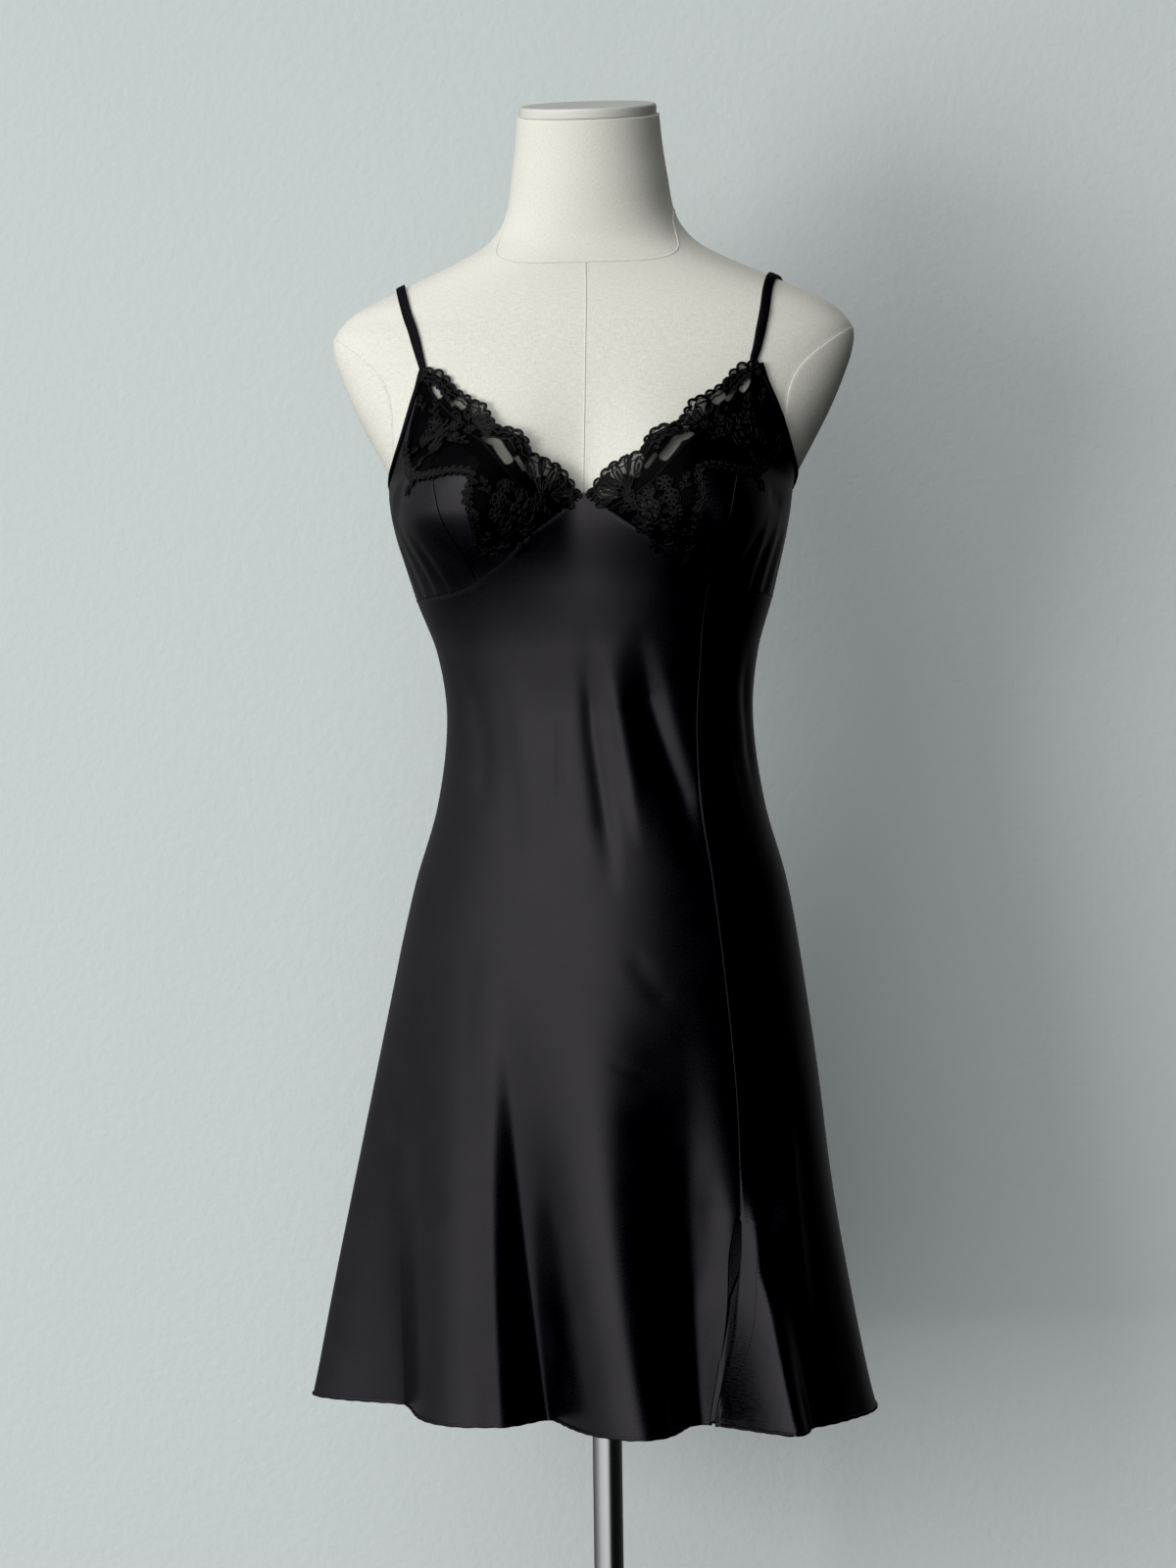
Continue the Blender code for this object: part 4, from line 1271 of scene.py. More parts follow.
def line_mesh(name: str, lines: Sequence[Array], closed: Sequence[bool] | bool = False) -> bpy.types.Object:
    """A mesh of loose edges along lines.

    Args:
        name: The object's name.
        lines: The points of each line, as rows.
        closed: Whether each line joins itself, or one answer for all.

    Returns:
        The object, ready for a node tool.
    """
    flags = [closed] * len(lines) if isinstance(closed, bool) else closed
    points, edges, first = [], [], 0
    for line, loops in zip(lines, flags, strict=True):
        points.append(line)
        index = np.arange(first, first + len(line))
        edges += list(zip(index[:-1], index[1:], strict=True))
        if loops:
            edges.append((index[-1], index[0]))
        first += len(line)
    return make_mesh(name, np.vstack(points), edges=[(int(a), int(b)) for a, b in edges])


def dress(obj: bpy.types.Object, *materials: bpy.types.Material) -> bpy.types.Object:
    """Puts materials on a piece, in the order of its slots."""
    obj.data.materials.clear()
    for material in materials:
        obj.data.materials.append(material)
    return obj


def settle(obj: bpy.types.Object, slot: str, *nodes: str) -> bpy.types.Object:
    """Ties a finished piece to the frame.

    Args:
        obj: The piece.
        slot: Not used.
        *nodes: The solid model's nodes that it stands for.

    Returns:
        The piece.
    """
    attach(obj, BODY)
    if nodes:
        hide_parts(*nodes)
    LOG.info("%s: %d faces", obj.name, len(obj.data.polygons))
    return obj


# Seams and edges of the dress

PRINCESS_SEAM = SmoothTable(  # height, azimuth
    [
        (HEM, 43.5),
        (0.594, 44.6),
        (0.619, 45.2),
        (0.640, 45.6),
        (0.660, 45.8),
        (0.680, 46.2),
        (0.695, 47.2),
        (SLIT_TOP + 0.006, 48.7),
        (0.780, 49.0),
        (0.876, 47.4),
        (0.953, 46.3),
        (1.020, 46.7),
        (1.082, 49.0),
        (1.115, 49.4),
        (1.170, 47.3),
    ]
)
SLIT_BACK_EDGE = SmoothTable(
    [
        (HEM, 42.2),
        (0.580, 43.9),
        (0.595, 44.7),
        (0.619, 45.7),
        (0.649, 46.7),
        (0.683, 48.0),
        (SLIT_TOP + 0.006, 48.7),
    ]
)
UNDERBUST = SmoothTable(  # azimuth from the middle of the bodice, height
    [
        (0, 1.2320),
        (6, 1.2237),
        (12, 1.2135),
        (18, 1.2040),
        (24, 1.1930),
        (30, 1.1825),
        (37, 1.1750),
        (44, 1.1680),
        (52, 1.1640),
        (62, 1.1620),
        (SIDE_SEAM, 1.1600),
    ]
)
BACK_NECK = SmoothTable([(SIDE_SEAM, 1.2430), (110, 1.2395), (140, 1.2350), (180, 1.2320)])
CUP_SEAM = SmoothTable(  # place along the seam, azimuth from the middle of the bodice, height
    [
        (0.00, 62.9, 1.3290),
        (0.10, 62.2, 1.3200),
        (0.17, 61.2, 1.3130),
        (CUP_TOP, 59.0, 1.3050),
        (0.38, 55.5, 1.2860),
        (0.48, 51.5, 1.2690),
        (0.57, 47.0, 1.2540),
        (0.66, 43.6, 1.2395),
        (0.74, 41.3, 1.2265),
        (0.83, 40.2, 1.2080),
        (0.92, 40.6, 1.1880),
        (1.00, 42.6, 1.1680),
    ]
)
NECKLINE = SmoothTable(
    [
        (0.00, 58.6, 1.3045),
        (0.12, 52.5, 1.2925),
        (0.28, 44.0, 1.2795),
        (0.40, 37.0, 1.2715),
        (0.52, 32.0, 1.2625),
        (0.66, 26.0, 1.2497),
        (0.80, 19.5, 1.2340),
        (1.00, 9.0, 1.2190),
    ]
)
ARMHOLE = SmoothTable(
    [
        (0.00, 64.9, 1.3300),
        (0.14, 65.2, 1.3130),
        (0.28, 67.4, 1.2900),
        (0.38, 70.4, 1.2730),
        (0.47, 75.2, 1.2600),
        (0.57, 84.0, 1.2500),
        (ARMHOLE_END, SIDE_SEAM, 1.2430),
    ]
)


STRAP_FOOT = SmoothTable([(0.0, 64.6, 1.3200), (0.5, 64.3, 1.3235), (1.0, 64.1, 1.3270)])


def underbust(azimuth: Array) -> Array:
    """The height of the seam under the cups."""
    return UNDERBUST.column(np.abs(wrapped(azimuth - bodice_turn(0.0))), 1)


def back_top(azimuth: Array) -> Array:
    """The height of the back's upper edge."""
    return BACK_NECK.column(np.abs(wrapped(azimuth)), 1)


def rolled(grid: Array, normals: Array, radius: float, edges: str) -> Array:
    """Rounds the chosen edges of a grid of points over, as a turned seam does.

    Args:
        grid: Points of the outer face, rows by columns by 3.
        normals: The outward directions there.
        radius: The radius of the rounding.
        edges: Any of l, r, b and t: the first and last column, the first and last row.

    Returns:
        The moved points.
    """
    drop = np.zeros(grid.shape[:2])
    for edge in edges:
        axis = 1 if edge in "lr" else 0
        lines = grid if edge in "lb" else np.flip(grid, axis)
        steps = np.linalg.norm(np.diff(lines, axis=axis), axis=-1)
        zero = np.zeros_like(np.take(steps, [0], axis))
        reach = np.concatenate([zero, np.cumsum(steps, axis=axis)], axis)
        reach = reach if edge in "lb" else np.flip(reach, axis)
        t = 1 - np.clip(reach / radius, 0, 1)
        drop = np.maximum(drop, radius * (1 - np.sqrt(1 - t**2)))
    return grid - normals * drop[..., None]


def cloth_uv(azimuth: Array, height: Array) -> Array:
    """Pattern coordinates of the cloth, in metres across and up."""
    return np.stack([azimuth * METRES_PER_DEGREE, height], -1)


@dataclass
class Panel:
    """A panel of the skirt between two seams, from the hem to its top edge."""

    name: str
    surface: ClothSurface
    left: Callable[[Array], Array]
    right: Callable[[Array], Array]
    top: Callable[[Array], Array]
    width: float
    columns: int
    rows: int
    crowding: float = 1.0
    seam_roll: float = 0.0007
    edges: str = "lrt"

    def chart(self) -> tuple[Array, Array]:
        """The azimuths and heights of the panel's grid."""
        u = crowded(self.width, self.columns, self.seam_roll) ** self.crowding
        v = crowded(0.65, self.rows, self.seam_roll)
        azimuth, height = np.zeros((len(v), len(u))), np.full((len(v), len(u)), 1.0)
        for _ in range(5):
            left, right = self.left(height), self.right(height)
            azimuth = left + (right - left) * u[None, :]
            height = HEM + (self.top(azimuth) - HEM) * v[:, None]
        return azimuth, height

    def build(self) -> bpy.types.Object:
        """Makes the panel's sheet."""
        azimuth, height = self.chart()
        normals = self.surface.normals(azimuth, height)
        outer = self.surface.points(azimuth, height) + normals * (SATIN_INSIDE + SATIN_THICKNESS)
        outer = rolled(outer, normals, self.seam_roll, self.edges)
        return shell(self.name, outer, normals, SATIN_THICKNESS, cloth_uv(azimuth, height))

    def hem_path(self) -> tuple[Array, Array]:
        """The middle of the hem's edge, and its outward directions."""
        azimuth, height = self.chart()
        lift = SATIN_INSIDE + SATIN_THICKNESS / 2
        path = self.surface.lifted(azimuth[0], height[0], lift)
        even = smooth_path(path, 0.0020)
        share = np.linspace(0, 1, len(even))
        reach = np.linspace(0, 1, len(path))
        normals = self.surface.normals(azimuth[0], height[0])
        return even, unit(np.column_stack([np.interp(share, reach, axis) for axis in normals.T]))


def coons(left: Array, right: Array, bottom: Array, v: Array, u: Array) -> tuple[Array, Array]:
    """A patch between two edges that run down, with a straight top and a curved bottom.

    Args:
        left: (azimuth, height) rows of the left edge, one for each v.
        right: The same for the right edge.
        bottom: The same for the bottom edge, one for each u.
        v: Shares down the edges.
        u: Shares across.

    Returns:
        The azimuths and the heights, v by u.
    """
    u_row, v_column = u[None, :, None], v[:, None, None]
    across = left[:, None] * (1 - u_row) + right[:, None] * u_row
    straight = left[-1] * (1 - u_row) + right[-1] * u_row
    patch = across + v_column * (bottom[None] - straight)
    return patch[..., 0], patch[..., 1]


SKIRT_CREASES = (
    # the drag lines from under the wearer's left cup down the middle
    Crease(
        [(-0.6, 1.140), (-0.2, 1.100), (1.0, 1.058), (5.0, 1.012), (8.0, 0.975), (8.5, 0.93)],
        -0.0030,
        0.013,
        0.0075,
    ),
    Crease([(6.5, 1.128), (9.5, 1.105), (14.0, 1.058), (18.0, 1.012), (23.0, 0.965)], 0.0030, 0.009, 0.016),
    Crease([(20.0, 1.140), (30.0, 1.075), (40.0, 1.010), (42.0, 0.95)], -0.0050, 0.020, 0.012),
    Crease([(-15.5, 1.085), (-14.4, 1.034), (-12.6, 0.995)], -0.0009, 0.005, 0.003),
    # the soft fold down from the wearer's right cup
    Crease([(-38.0, 1.110), (-31.0, 1.055), (-25.0, 1.000), (-24.0, 0.94)], 0.0016, 0.014, 0.018),
    Crease([(-62.0, 1.120), (-52.0, 1.050), (-46.0, 0.985)], -0.0014, 0.012, 0.014),
    # soft diagonals across the hip
    Crease([(5.0, 0.822), (13.0, 0.8136), (26.0, 0.801)], -0.0005, 0.004, 0.003),
    Crease([(12.0, 0.905), (24.0, 0.868), (34.0, 0.850)], -0.0006, 0.009, 0.009),
)
FRONT_PUCKER = (Crease([(41.0, 0.742), (43.3, 0.705), (43.6, 0.672), (42.4, 0.630)], -0.0022, 0.008, 0.005),)
SIDE_PUCKERS = (
    Crease([(56.0, 0.728), (55.0, 0.702), (51.0, 0.665), (50.5, 0.63)], -0.0026, 0.005, 0.008),
    Crease([(51.5, 0.715), (50.8, 0.690), (49.0, 0.660)], 0.0012, 0.004, 0.004),
    Crease([(66.0, 0.82), (63.5, 0.74), (60.5, 0.66), (57.5, 0.58)], 0.0030, 0.007, 0.007),
)
WAIST_CREASES = (
    Crease([(62.0, 1.12), (60.0, 1.05), (64.0, 0.97)], 0.0014, 0.008, 0.010),
    Crease([(74.0, 1.13), (78.0, 1.06), (76.0, 1.00)], -0.0018, 0.009, 0.011),
)
BACK_CREASES = (
    Crease([(120.0, 1.150), (128.0, 1.090), (133.0, 1.030), (134.0, 0.97)], -0.0028, 0.012, 0.009),
    Crease([(142.0, 1.145), (146.0, 1.085), (150.0, 1.020)], 0.0020, 0.010, 0.012),
    Crease([(163.0, 1.110), (168.0, 1.060), (170.0, 1.005)], -0.0016, 0.010, 0.007),
    Crease([(186.0, 1.125), (184.0, 1.060), (189.0, 0.990)], -0.0022, 0.008, 0.012),
    Crease([(207.0, 1.150), (203.0, 1.095), (200.0, 1.030), (203.0, 0.96)], 0.0022, 0.012, 0.010),
    Crease([(226.0, 1.140), (221.0, 1.080), (219.0, 1.010)], -0.0026, 0.009, 0.012),
    Crease([(240.0, 1.105), (236.0, 1.050), (238.0, 0.99)], 0.0015, 0.009, 0.009),
    Crease([(150.0, 1.205), (168.0, 1.190), (186.0, 1.196)], -0.0012, 0.008, 0.008),
)


@dataclass
class Skirt:
    """The front, side and back panels, the slit's facing and the rolled hem."""

    finishes: Finishes
    tools: Tools
    seam_gap: float = 0.0002
    hem_width: float = 0.0030
    hem_thickness: float = 0.0024
    facing_width: float = 0.0090
    stitch_pitch: float = 0.0026
    ridge_lift: float = 0.0010

    def across(self, distance: Array | float, height: Array) -> Array:
        """The azimuth step of a distance along a seam, close enough for a gap."""
        return np.degrees(distance / (0.10 + 0.10 * (1.17 - height)))

    def panels(self) -> list[Panel]:
        """The three panels with their seams."""
        front = ClothSurface(FRONT_FOLDS, SKIRT_CREASES + FRONT_PUCKER + WAIST_CREASES)
        side = ClothSurface(SIDE_FOLDS, SKIRT_CREASES + SIDE_PUCKERS + WAIST_CREASES)
        back = ClothSurface(SIDE_FOLDS, BACK_CREASES + WAIST_CREASES)

        def gap(height: Array) -> Array:
            """Half the seam's gap, in degrees."""
            return self.across(self.seam_gap / 2, height)

        def front_edge(height: Array) -> Array:
            """The front panel's edge at the princess seam and the slit."""
            return PRINCESS_SEAM.column(height, 1) - gap(height)

        def side_edge(height: Array) -> Array:
            """The side panel's edge at the slit and the princess seam."""
            below = SLIT_BACK_EDGE.column(height, 1)
            return np.where(height < SLIT_TOP, below, PRINCESS_SEAM.column(height, 1)) + gap(height)

        return [
            Panel(
                "front_satin",
                front,
                left=lambda h: gap(h) - SIDE_SEAM,
                right=front_edge,
                top=lambda a: underbust(a) - 0.0001,
                width=0.42,
                columns=150,
                rows=215,
            ),
            Panel(
                "side_satin",
                side,
                left=side_edge,
                right=lambda h: SIDE_SEAM - gap(h),
                top=lambda a: underbust(a) - 0.0001,
                width=0.16,
                columns=72,
                rows=215,
                crowding=1.25,
            ),
            Panel(
                "back_satin",
                back,
                left=lambda h: SIDE_SEAM + gap(h),
                right=lambda h: 360 - SIDE_SEAM - gap(h),
                top=back_top,
                width=0.46,
                columns=150,
                rows=170,
            ),
        ]

    def build(self) -> None:
        nodes = {"front_satin": "front_panel", "side_satin": "side_panel", "back_satin": "back_panel"}
        for panel in self.panels():
            obj = dress(panel.build(), self.finishes.satin, self.finishes.reverse)
            settle(obj, "satin", nodes[panel.name])
            trims = self.hem(panel)
            if panel.name == "front_satin":
                trims += self.seam_ridges(panel)
            if panel.name == "side_satin":
                trims += self.slit_facing(panel)
            if panel.name == "back_satin":
                trims += self.back_edge(panel)

    def hem(self, panel: Panel) -> list[bpy.types.Object]:
        """The rolled edge and the overlock thread round it."""
        path, out = panel.hem_path()
        stem = panel.name.split("_")[0]
        ripple = 0.00018 * np.sin(np.linspace(0, len(path) * 0.9, len(path)))
        path = path + np.array([0, 0, 1.0]) * ripple[:, None]
        roll = swept(f"{stem}_hem_roll", path, out, self.hem_width, self.hem_thickness, 10)
        dress(roll, self.finishes.satin)
        settle(roll, "satin")
        wraps = line_mesh(f"{stem}_hem_overlock", [path])
        self.tools.wrap.run(
            wraps,
            self.finishes.yarn,
            Pitch=0.0016,
            Radius=self.hem_thickness / 2 + 0.0001,
            Thread=0.00017,
            Lean=0.35,
        )
        settle(wraps, "binding")
        return [roll, wraps]

    def seam_ridges(self, panel: Panel) -> list[bpy.types.Object]:
        """The fine turned ridges that catch light along the seam under the cups and the long seam."""
        azimuth = np.linspace(-SIDE_SEAM + 0.5, SIDE_SEAM - 0.5, 320)
        under = panel.surface.lifted(azimuth, underbust(azimuth) + 0.0003, self.ridge_lift)
        height = np.linspace(SLIT_TOP + 0.004, 1.168, 260)
        long_seam = panel.surface.lifted(
            PRINCESS_SEAM.column(height, 1) + 0.05, height, self.ridge_lift - 0.0001
        )
        ridges = line_mesh("seam_ridges", [under, long_seam])
        self.tools.cord.run(ridges, self.finishes.satin, Diameter=0.0009, Sides=8)
        return [settle(ridges, "satin")]

    def slit_facing(self, panel: Panel) -> list[bpy.types.Object]:
        """The turned-in edge of the slit and the row of stitches that holds it."""
        v = np.linspace(HEM + 0.001, SLIT_TOP - 0.001, 60)
        u = np.linspace(0, 1, 13)
        edge = SLIT_BACK_EDGE.column(v, 1)[:, None]
        under = np.interp(v, [0.640, 0.668], [1.3, 0.0])[:, None]
        azimuth = edge + 0.12 - under + u[None, :] * (under + self.across(self.facing_width, v)[:, None])
        height = np.broadcast_to(v[:, None], azimuth.shape)
        normals = panel.surface.normals(azimuth, height)
        sunk = 0.0003 + 0.0022 * np.clip((edge + 0.12 - azimuth) / 1.3, 0, 1)
        outer = panel.surface.points(azimuth, height) - normals * sunk[..., None]
        facing = shell("slit_facing_satin", outer, normals, 0.0007, cloth_uv(azimuth, height))
        dress(facing, self.finishes.satin, self.finishes.satin)
        settle(facing, "satin", "slit_facing")
        lift = SATIN_INSIDE + SATIN_THICKNESS + 0.0001
        held = np.interp(v, [HEM, 0.60, 0.68], [0.0015, 0.0030, 0.0060])
        inside = SLIT_BACK_EDGE.column(v, 1) + self.across(held, v)
        lines = [panel.surface.lifted(inside, v, lift)]
        bar = np.linspace(SLIT_TOP - 0.002, SLIT_TOP + 0.006, 6)
        lines.append(panel.surface.lifted(np.full(6, 49.5), bar, lift + 0.0002))
        stitches = line_mesh("slit_stitches", lines)
        self.tools.stitch.run(
            stitches, self.finishes.yarn, Pitch=self.stitch_pitch, Length=0.0019, Diameter=0.0005
        )
        settle(stitches, "binding")
        return [facing, stitches]

    def back_edge(self, panel: Panel) -> list[bpy.types.Object]:
        """The narrow turned edge along the top of the back."""
        azimuth = np.linspace(SIDE_SEAM + 0.3, 360 - SIDE_SEAM - 0.3, 160)
        height = back_top(azimuth) - 0.0012
        path = panel.surface.lifted(azimuth, height, SATIN_INSIDE + SATIN_THICKNESS * 0.6)
        roll = swept("back_edge_roll", path, panel.surface.normals(azimuth, height), 0.0042, 0.0021, 12)
        dress(roll, self.finishes.binding)
        settle(roll, "binding")
        row = panel.surface.lifted(azimuth, height - 0.0009, SATIN_INSIDE + 0.0018)
        stitches = line_mesh("back_edge_stitches", [row])
        self.tools.stitch.run(
            stitches, self.finishes.yarn, Pitch=self.stitch_pitch, Length=0.0018, Diameter=0.00042
        )
        settle(stitches, "binding")
        return [roll, stitches]


def gathers(side: Side) -> list[Crease]:
    """The fine gathers that rise from the seam under an outer cup, uneven in length and depth."""
    rows = (  # azimuth at the seam, azimuth at the top, height of the top, depth
        (50.0, 47.5, 1.186, -0.0009),
        (54.5, 51.5, 1.205, 0.0011),
        (58.0, 55.5, 1.212, -0.0013),
        (62.0, 60.0, 1.222, 0.0014),
        (65.5, 65.0, 1.208, -0.0012),
        (69.5, 69.5, 1.226, 0.0014),
        (73.5, 74.5, 1.214, -0.0013),
        (78.0, 79.5, 1.220, 0.0012),
        (83.0, 84.5, 1.204, -0.0010),
    )
    creases = []
    for foot, tip, top, depth in rows:
        turn = float(bodice_turn(0.0))
        line = [(side.value * foot + turn, 1.160), (side.value * (foot + tip) / 2 + turn, (1.160 + top) / 2)]
        line.append((side.value * tip + turn, top))
        creases.append(Crease(line, depth * 0.55, 0.0040, 0.0040, (1.0, 0.0)))
    return creases


CUP_CREASES = {
    Side.LEFT: (
        Crease([(42.0, 1.171), (38.5, 1.180), (34.0, 1.186)], 0.0022, 0.004, 0.005, (0.6, 0.0)),
        Crease(
            [(45.0, 1.172), (43.0, 1.185), (41.0, 1.205), (40.5, 1.228)], 0.0024, 0.006, 0.004, (0.8, 0.0)
        ),
        Crease([(44.0, 1.171), (40.5, 1.186), (38.0, 1.205)], -0.0018, 0.004, 0.004, (0.8, 0.0)),
        Crease([(60.0, 1.235), (66.0, 1.228), (74.0, 1.226)], -0.0010, 0.006, 0.006),
    ),
    Side.RIGHT: (
        Crease([(-41.0, 1.172), (-37.0, 1.184), (-34.0, 1.196)], -0.0010, 0.004, 0.004, (0.8, 0.0)),
        Crease([(-62.0, 1.256), (-66.0, 1.240), (-70.0, 1.222), (-71.0, 1.20)], 0.0016, 0.005, 0.007),
        Crease([(-58.0, 1.252), (-60.0, 1.235), (-63.0, 1.215)], -0.0012, 0.006, 0.005),
    ),
}


@dataclass
class Bodice:
    """The four cup pieces with their bindings, and the two straps."""

    finishes: Finishes
    tools: Tools
    seam_gap_degrees: float = 0.06
    binding_width: float = 0.0036
    binding_thickness: float = 0.0023
    strap_width: float = 0.0075
    strap_thickness: float = 0.0019
    roll: float = 0.0006

    def edge(self, table: SmoothTable, at: Array, side: Side) -> Array:
        """Rows of (azimuth, height) along one of the bodice's edges."""
        rows = table.at(at)[..., 1:]
        return np.stack([side.value * rows[..., 0] + bodice_turn(rows[..., 1], side), rows[..., 1]], -1)

    def along_underbust(self, start: float, end: float, u: Array) -> Array:
        """Rows of (azimuth, height) just above the seam under the cups."""
        azimuth = start + (end - start) * u
        return np.stack([azimuth, underbust(azimuth) + 0.0001], -1)

    def cup(
        self,
        name: str,
        side: Side,
        surface: ClothSurface,
        left: Array,
        right: Array,
        v: Array,
        u: Array,
        edges: str,
    ) -> bpy.types.Object:
        """One piece of a cup.

        Args:
            name: The piece's name.
            side: The side it is on.
            surface: The surface it lies on.
            left: Its edge nearer the middle of the dress.
            right: Its outer edge.
            v: Shares down.
            u: Shares across.
            edges: The edges that roll over, for the wearer's left.

        Returns:
            The sheet.
        """
        bottom = self.along_underbust(left[-1, 0], right[-1, 0], u)
        azimuth, height = coons(left, right, bottom, v, u)
        if side is Side.LEFT:
            azimuth, height = azimuth[::-1], height[::-1]
        else:
            azimuth, height = azimuth[::-1, ::-1], height[::-1, ::-1]
            edges = edges.translate(str.maketrans("lr", "rl"))
        normals = surface.normals(azimuth, height)
        outer = surface.points(azimuth, height) + normals * (SATIN_INSIDE + SATIN_THICKNESS)
        outer = rolled(outer, normals, self.roll, edges)
        obj = shell(name, outer, normals, SATIN_THICKNESS, cloth_uv(azimuth, height))
        return dress(obj, self.finishes.satin, self.finishes.reverse)

    def build(self) -> None:
        """Makes both sides."""
        for side in Side:
            surface = ClothSurface((), tuple(gathers(side)) + CUP_CREASES[side])
            straps = self.strap(side, surface)
            binding = self.armhole_binding(side, surface)
            neck = self.neck_binding(side, surface)
            inner, outer = self.cups(side, surface)

    def cups(self, side: Side, surface: ClothSurface) -> tuple[bpy.types.Object, bpy.types.Object]:
        """The inner and the outer piece of one cup."""
        v = crowded(0.13, 90, self.roll)
        u = crowded(0.07, 44, self.roll)
        gap = np.array([self.seam_gap_degrees * side.value, 0.0])
        seam = self.edge(CUP_SEAM, v, side)
        side_azimuth = side.value * (SIDE_SEAM - 0.1)
        arm = self.edge(ARMHOLE, np.minimum(v, ARMHOLE_END), side)
        arm[:, 0] = side.value * np.minimum(np.abs(arm[:, 0]), SIDE_SEAM - 0.1)
        share = np.clip((v - ARMHOLE_END) / (1 - ARMHOLE_END), 0, 1)
        foot = underbust(np.array(side_azimuth)) + 0.0001
        last = arm[v <= ARMHOLE_END][-1, 1]
        arm[:, 1] = np.where(share > 0, last + (foot - last) * share, arm[:, 1])
        arm[:, 0] = np.where(share > 0, side_azimuth, arm[:, 0])
        outer = self.cup(f"cup_outer_satin_{side.label}", side, surface, seam + gap, arm, v, u, "lb")
        settle(outer, "satin", f"cup_outer_{side.label}")
        w = crowded(0.10, 70, self.roll)
        low = self.edge(CUP_SEAM, CUP_TOP + (1 - CUP_TOP) * w, side)
        neck = self.edge(NECKLINE, w, side)
        inner = self.cup(f"cup_inner_satin_{side.label}", side, surface, neck, low - gap, w, u, "rb")
        settle(inner, "satin", f"cup_inner_{side.label}")
        return inner, outer

    def armhole_binding(self, side: Side, surface: ClothSurface) -> list[bpy.types.Object]:
        """The bound edge of the armhole and its stitches."""
        spots = self.edge(ARMHOLE, np.linspace(0, ARMHOLE_END, 140), side)
        spots[:, 0] = side.value * np.minimum(np.abs(spots[:, 0]), SIDE_SEAM)
        path = smooth_path(surface.lifted(spots[:, 0], spots[:, 1], 0.0011), 0.0015)
        out = self.outward_at(surface, path)
        band = swept(f"armhole_band_{side.label}", path, out, self.binding_width, self.binding_thickness)
        dress(band, self.finishes.binding)
        settle(band, "binding", f"armhole_binding_{side.label}")
        row = path + out * (self.binding_thickness / 2 + 0.00005)
        stitches = line_mesh(f"armhole_stitches_{side.label}", [row])
        self.tools.stitch.run(stitches, self.finishes.yarn, Pitch=0.0024, Length=0.0016, Diameter=0.0004)
        settle(stitches, "binding")
        return [band, stitches]

    def outward_at(self, surface: ClothSurface, path: Array) -> Array:
        """The surface's outward directions beside points."""
        azimuth = np.degrees(np.arctan2(path[:, 0] - CLOTH_RINGS.column(path[:, 2], 5), -path[:, 1]))
        return surface.normals(azimuth, path[:, 2])

    def neck_binding(self, side: Side, surface: ClothSurface) -> list[bpy.types.Object]:
        """The narrow bound edge of the satin under the lace."""
        spots = self.edge(NECKLINE, np.linspace(0, 1, 120), side)
        top = self.edge(CUP_SEAM, np.linspace(0.03, CUP_TOP, 30, endpoint=False), side)
        spots = np.vstack([top, spots])
        path = smooth_path(surface.lifted(spots[:, 0], spots[:, 1], 0.0009), 0.0015)
        band = swept(f"neck_band_{side.label}", path, self.outward_at(surface, path), 0.0026, 0.0015)
        dress(band, self.finishes.binding)
        settle(band, "binding")
        return [band]

    def strap(self, side: Side, surface: ClothSurface) -> list[bpy.types.Object]:
        """A turned satin strap over one shoulder, lying on the form."""
        route = SmoothTable(  # degrees over the shoulder, half the space between the straps, shift
            [
                (-59.5, 0.1225, 0.0010),
                (-40, 0.1300, 0.0000),
                (-20, 0.1380, -0.0030),
                (0, 0.1435, -0.0025),
                (20, 0.1445, -0.0020),
                (45, 0.1390, -0.0010),
                (75, 0.1200, -0.0010),
                (100, 0.0960, -0.0010),
                (121.5, 0.0800, 0.0),
                (128.5, 0.0758, 0.0),
            ]
        )
        angle = np.linspace(-58.0, 128.0, 145)
        rows = route.at(angle)
        x = side.value * rows[:, 1] + rows[:, 2]
        turn = np.radians(angle)
        start = np.stack([x, 0.010 + 0.02 * np.sin(turn), 1.290 + 0.02 * np.cos(turn)], -1)
        end = np.stack([x, 0.010 + 0.16 * np.sin(turn), 1.290 + 0.16 * np.cos(turn)], -1)
        on_form = FormShape.meet(start, end)
        aside = np.array([0.003, 0, 0])
        beside = FormShape.meet(start + aside, end + aside) - FormShape.meet(start - aside, end - aside)
        out = unit(np.cross(beside, along_path(on_form)))
        out = out * np.sign((out * (end - start)).sum(-1, keepdims=True))
        rise = 0.0009 + 0.0012 * np.clip((angle - 112) / 16, 0, 1) ** 2  # up to the back panel's inside
        path = on_form + out * (rise[:, None] + self.strap_thickness / 2)
        foot = self.edge(STRAP_FOOT, np.array([0.0, 0.5, 1.0]), side)
        anchor = surface.lifted(foot[:, 0], foot[:, 1], 0.0016)
        path = smooth_path(np.vstack([anchor, path[np.linspace(0, len(path) - 1, 28).astype(int)]]), 0.0020)
        nearest = np.linalg.norm(path[:, None] - on_form[None], axis=-1).argmin(1)
        out = out[nearest]
        reach = np.linalg.norm(path - path[0], axis=-1)
        width = np.interp(reach, [0.0, 0.012, 0.035], [0.0042, 0.0056, self.strap_width])
        band = swept(f"strap_band_{side.label}", path, out, width, self.strap_thickness, 14)
        dress(band, self.finishes.binding)
        settle(band, "binding", f"strap_{side.label}")
        return [band]


# Lace


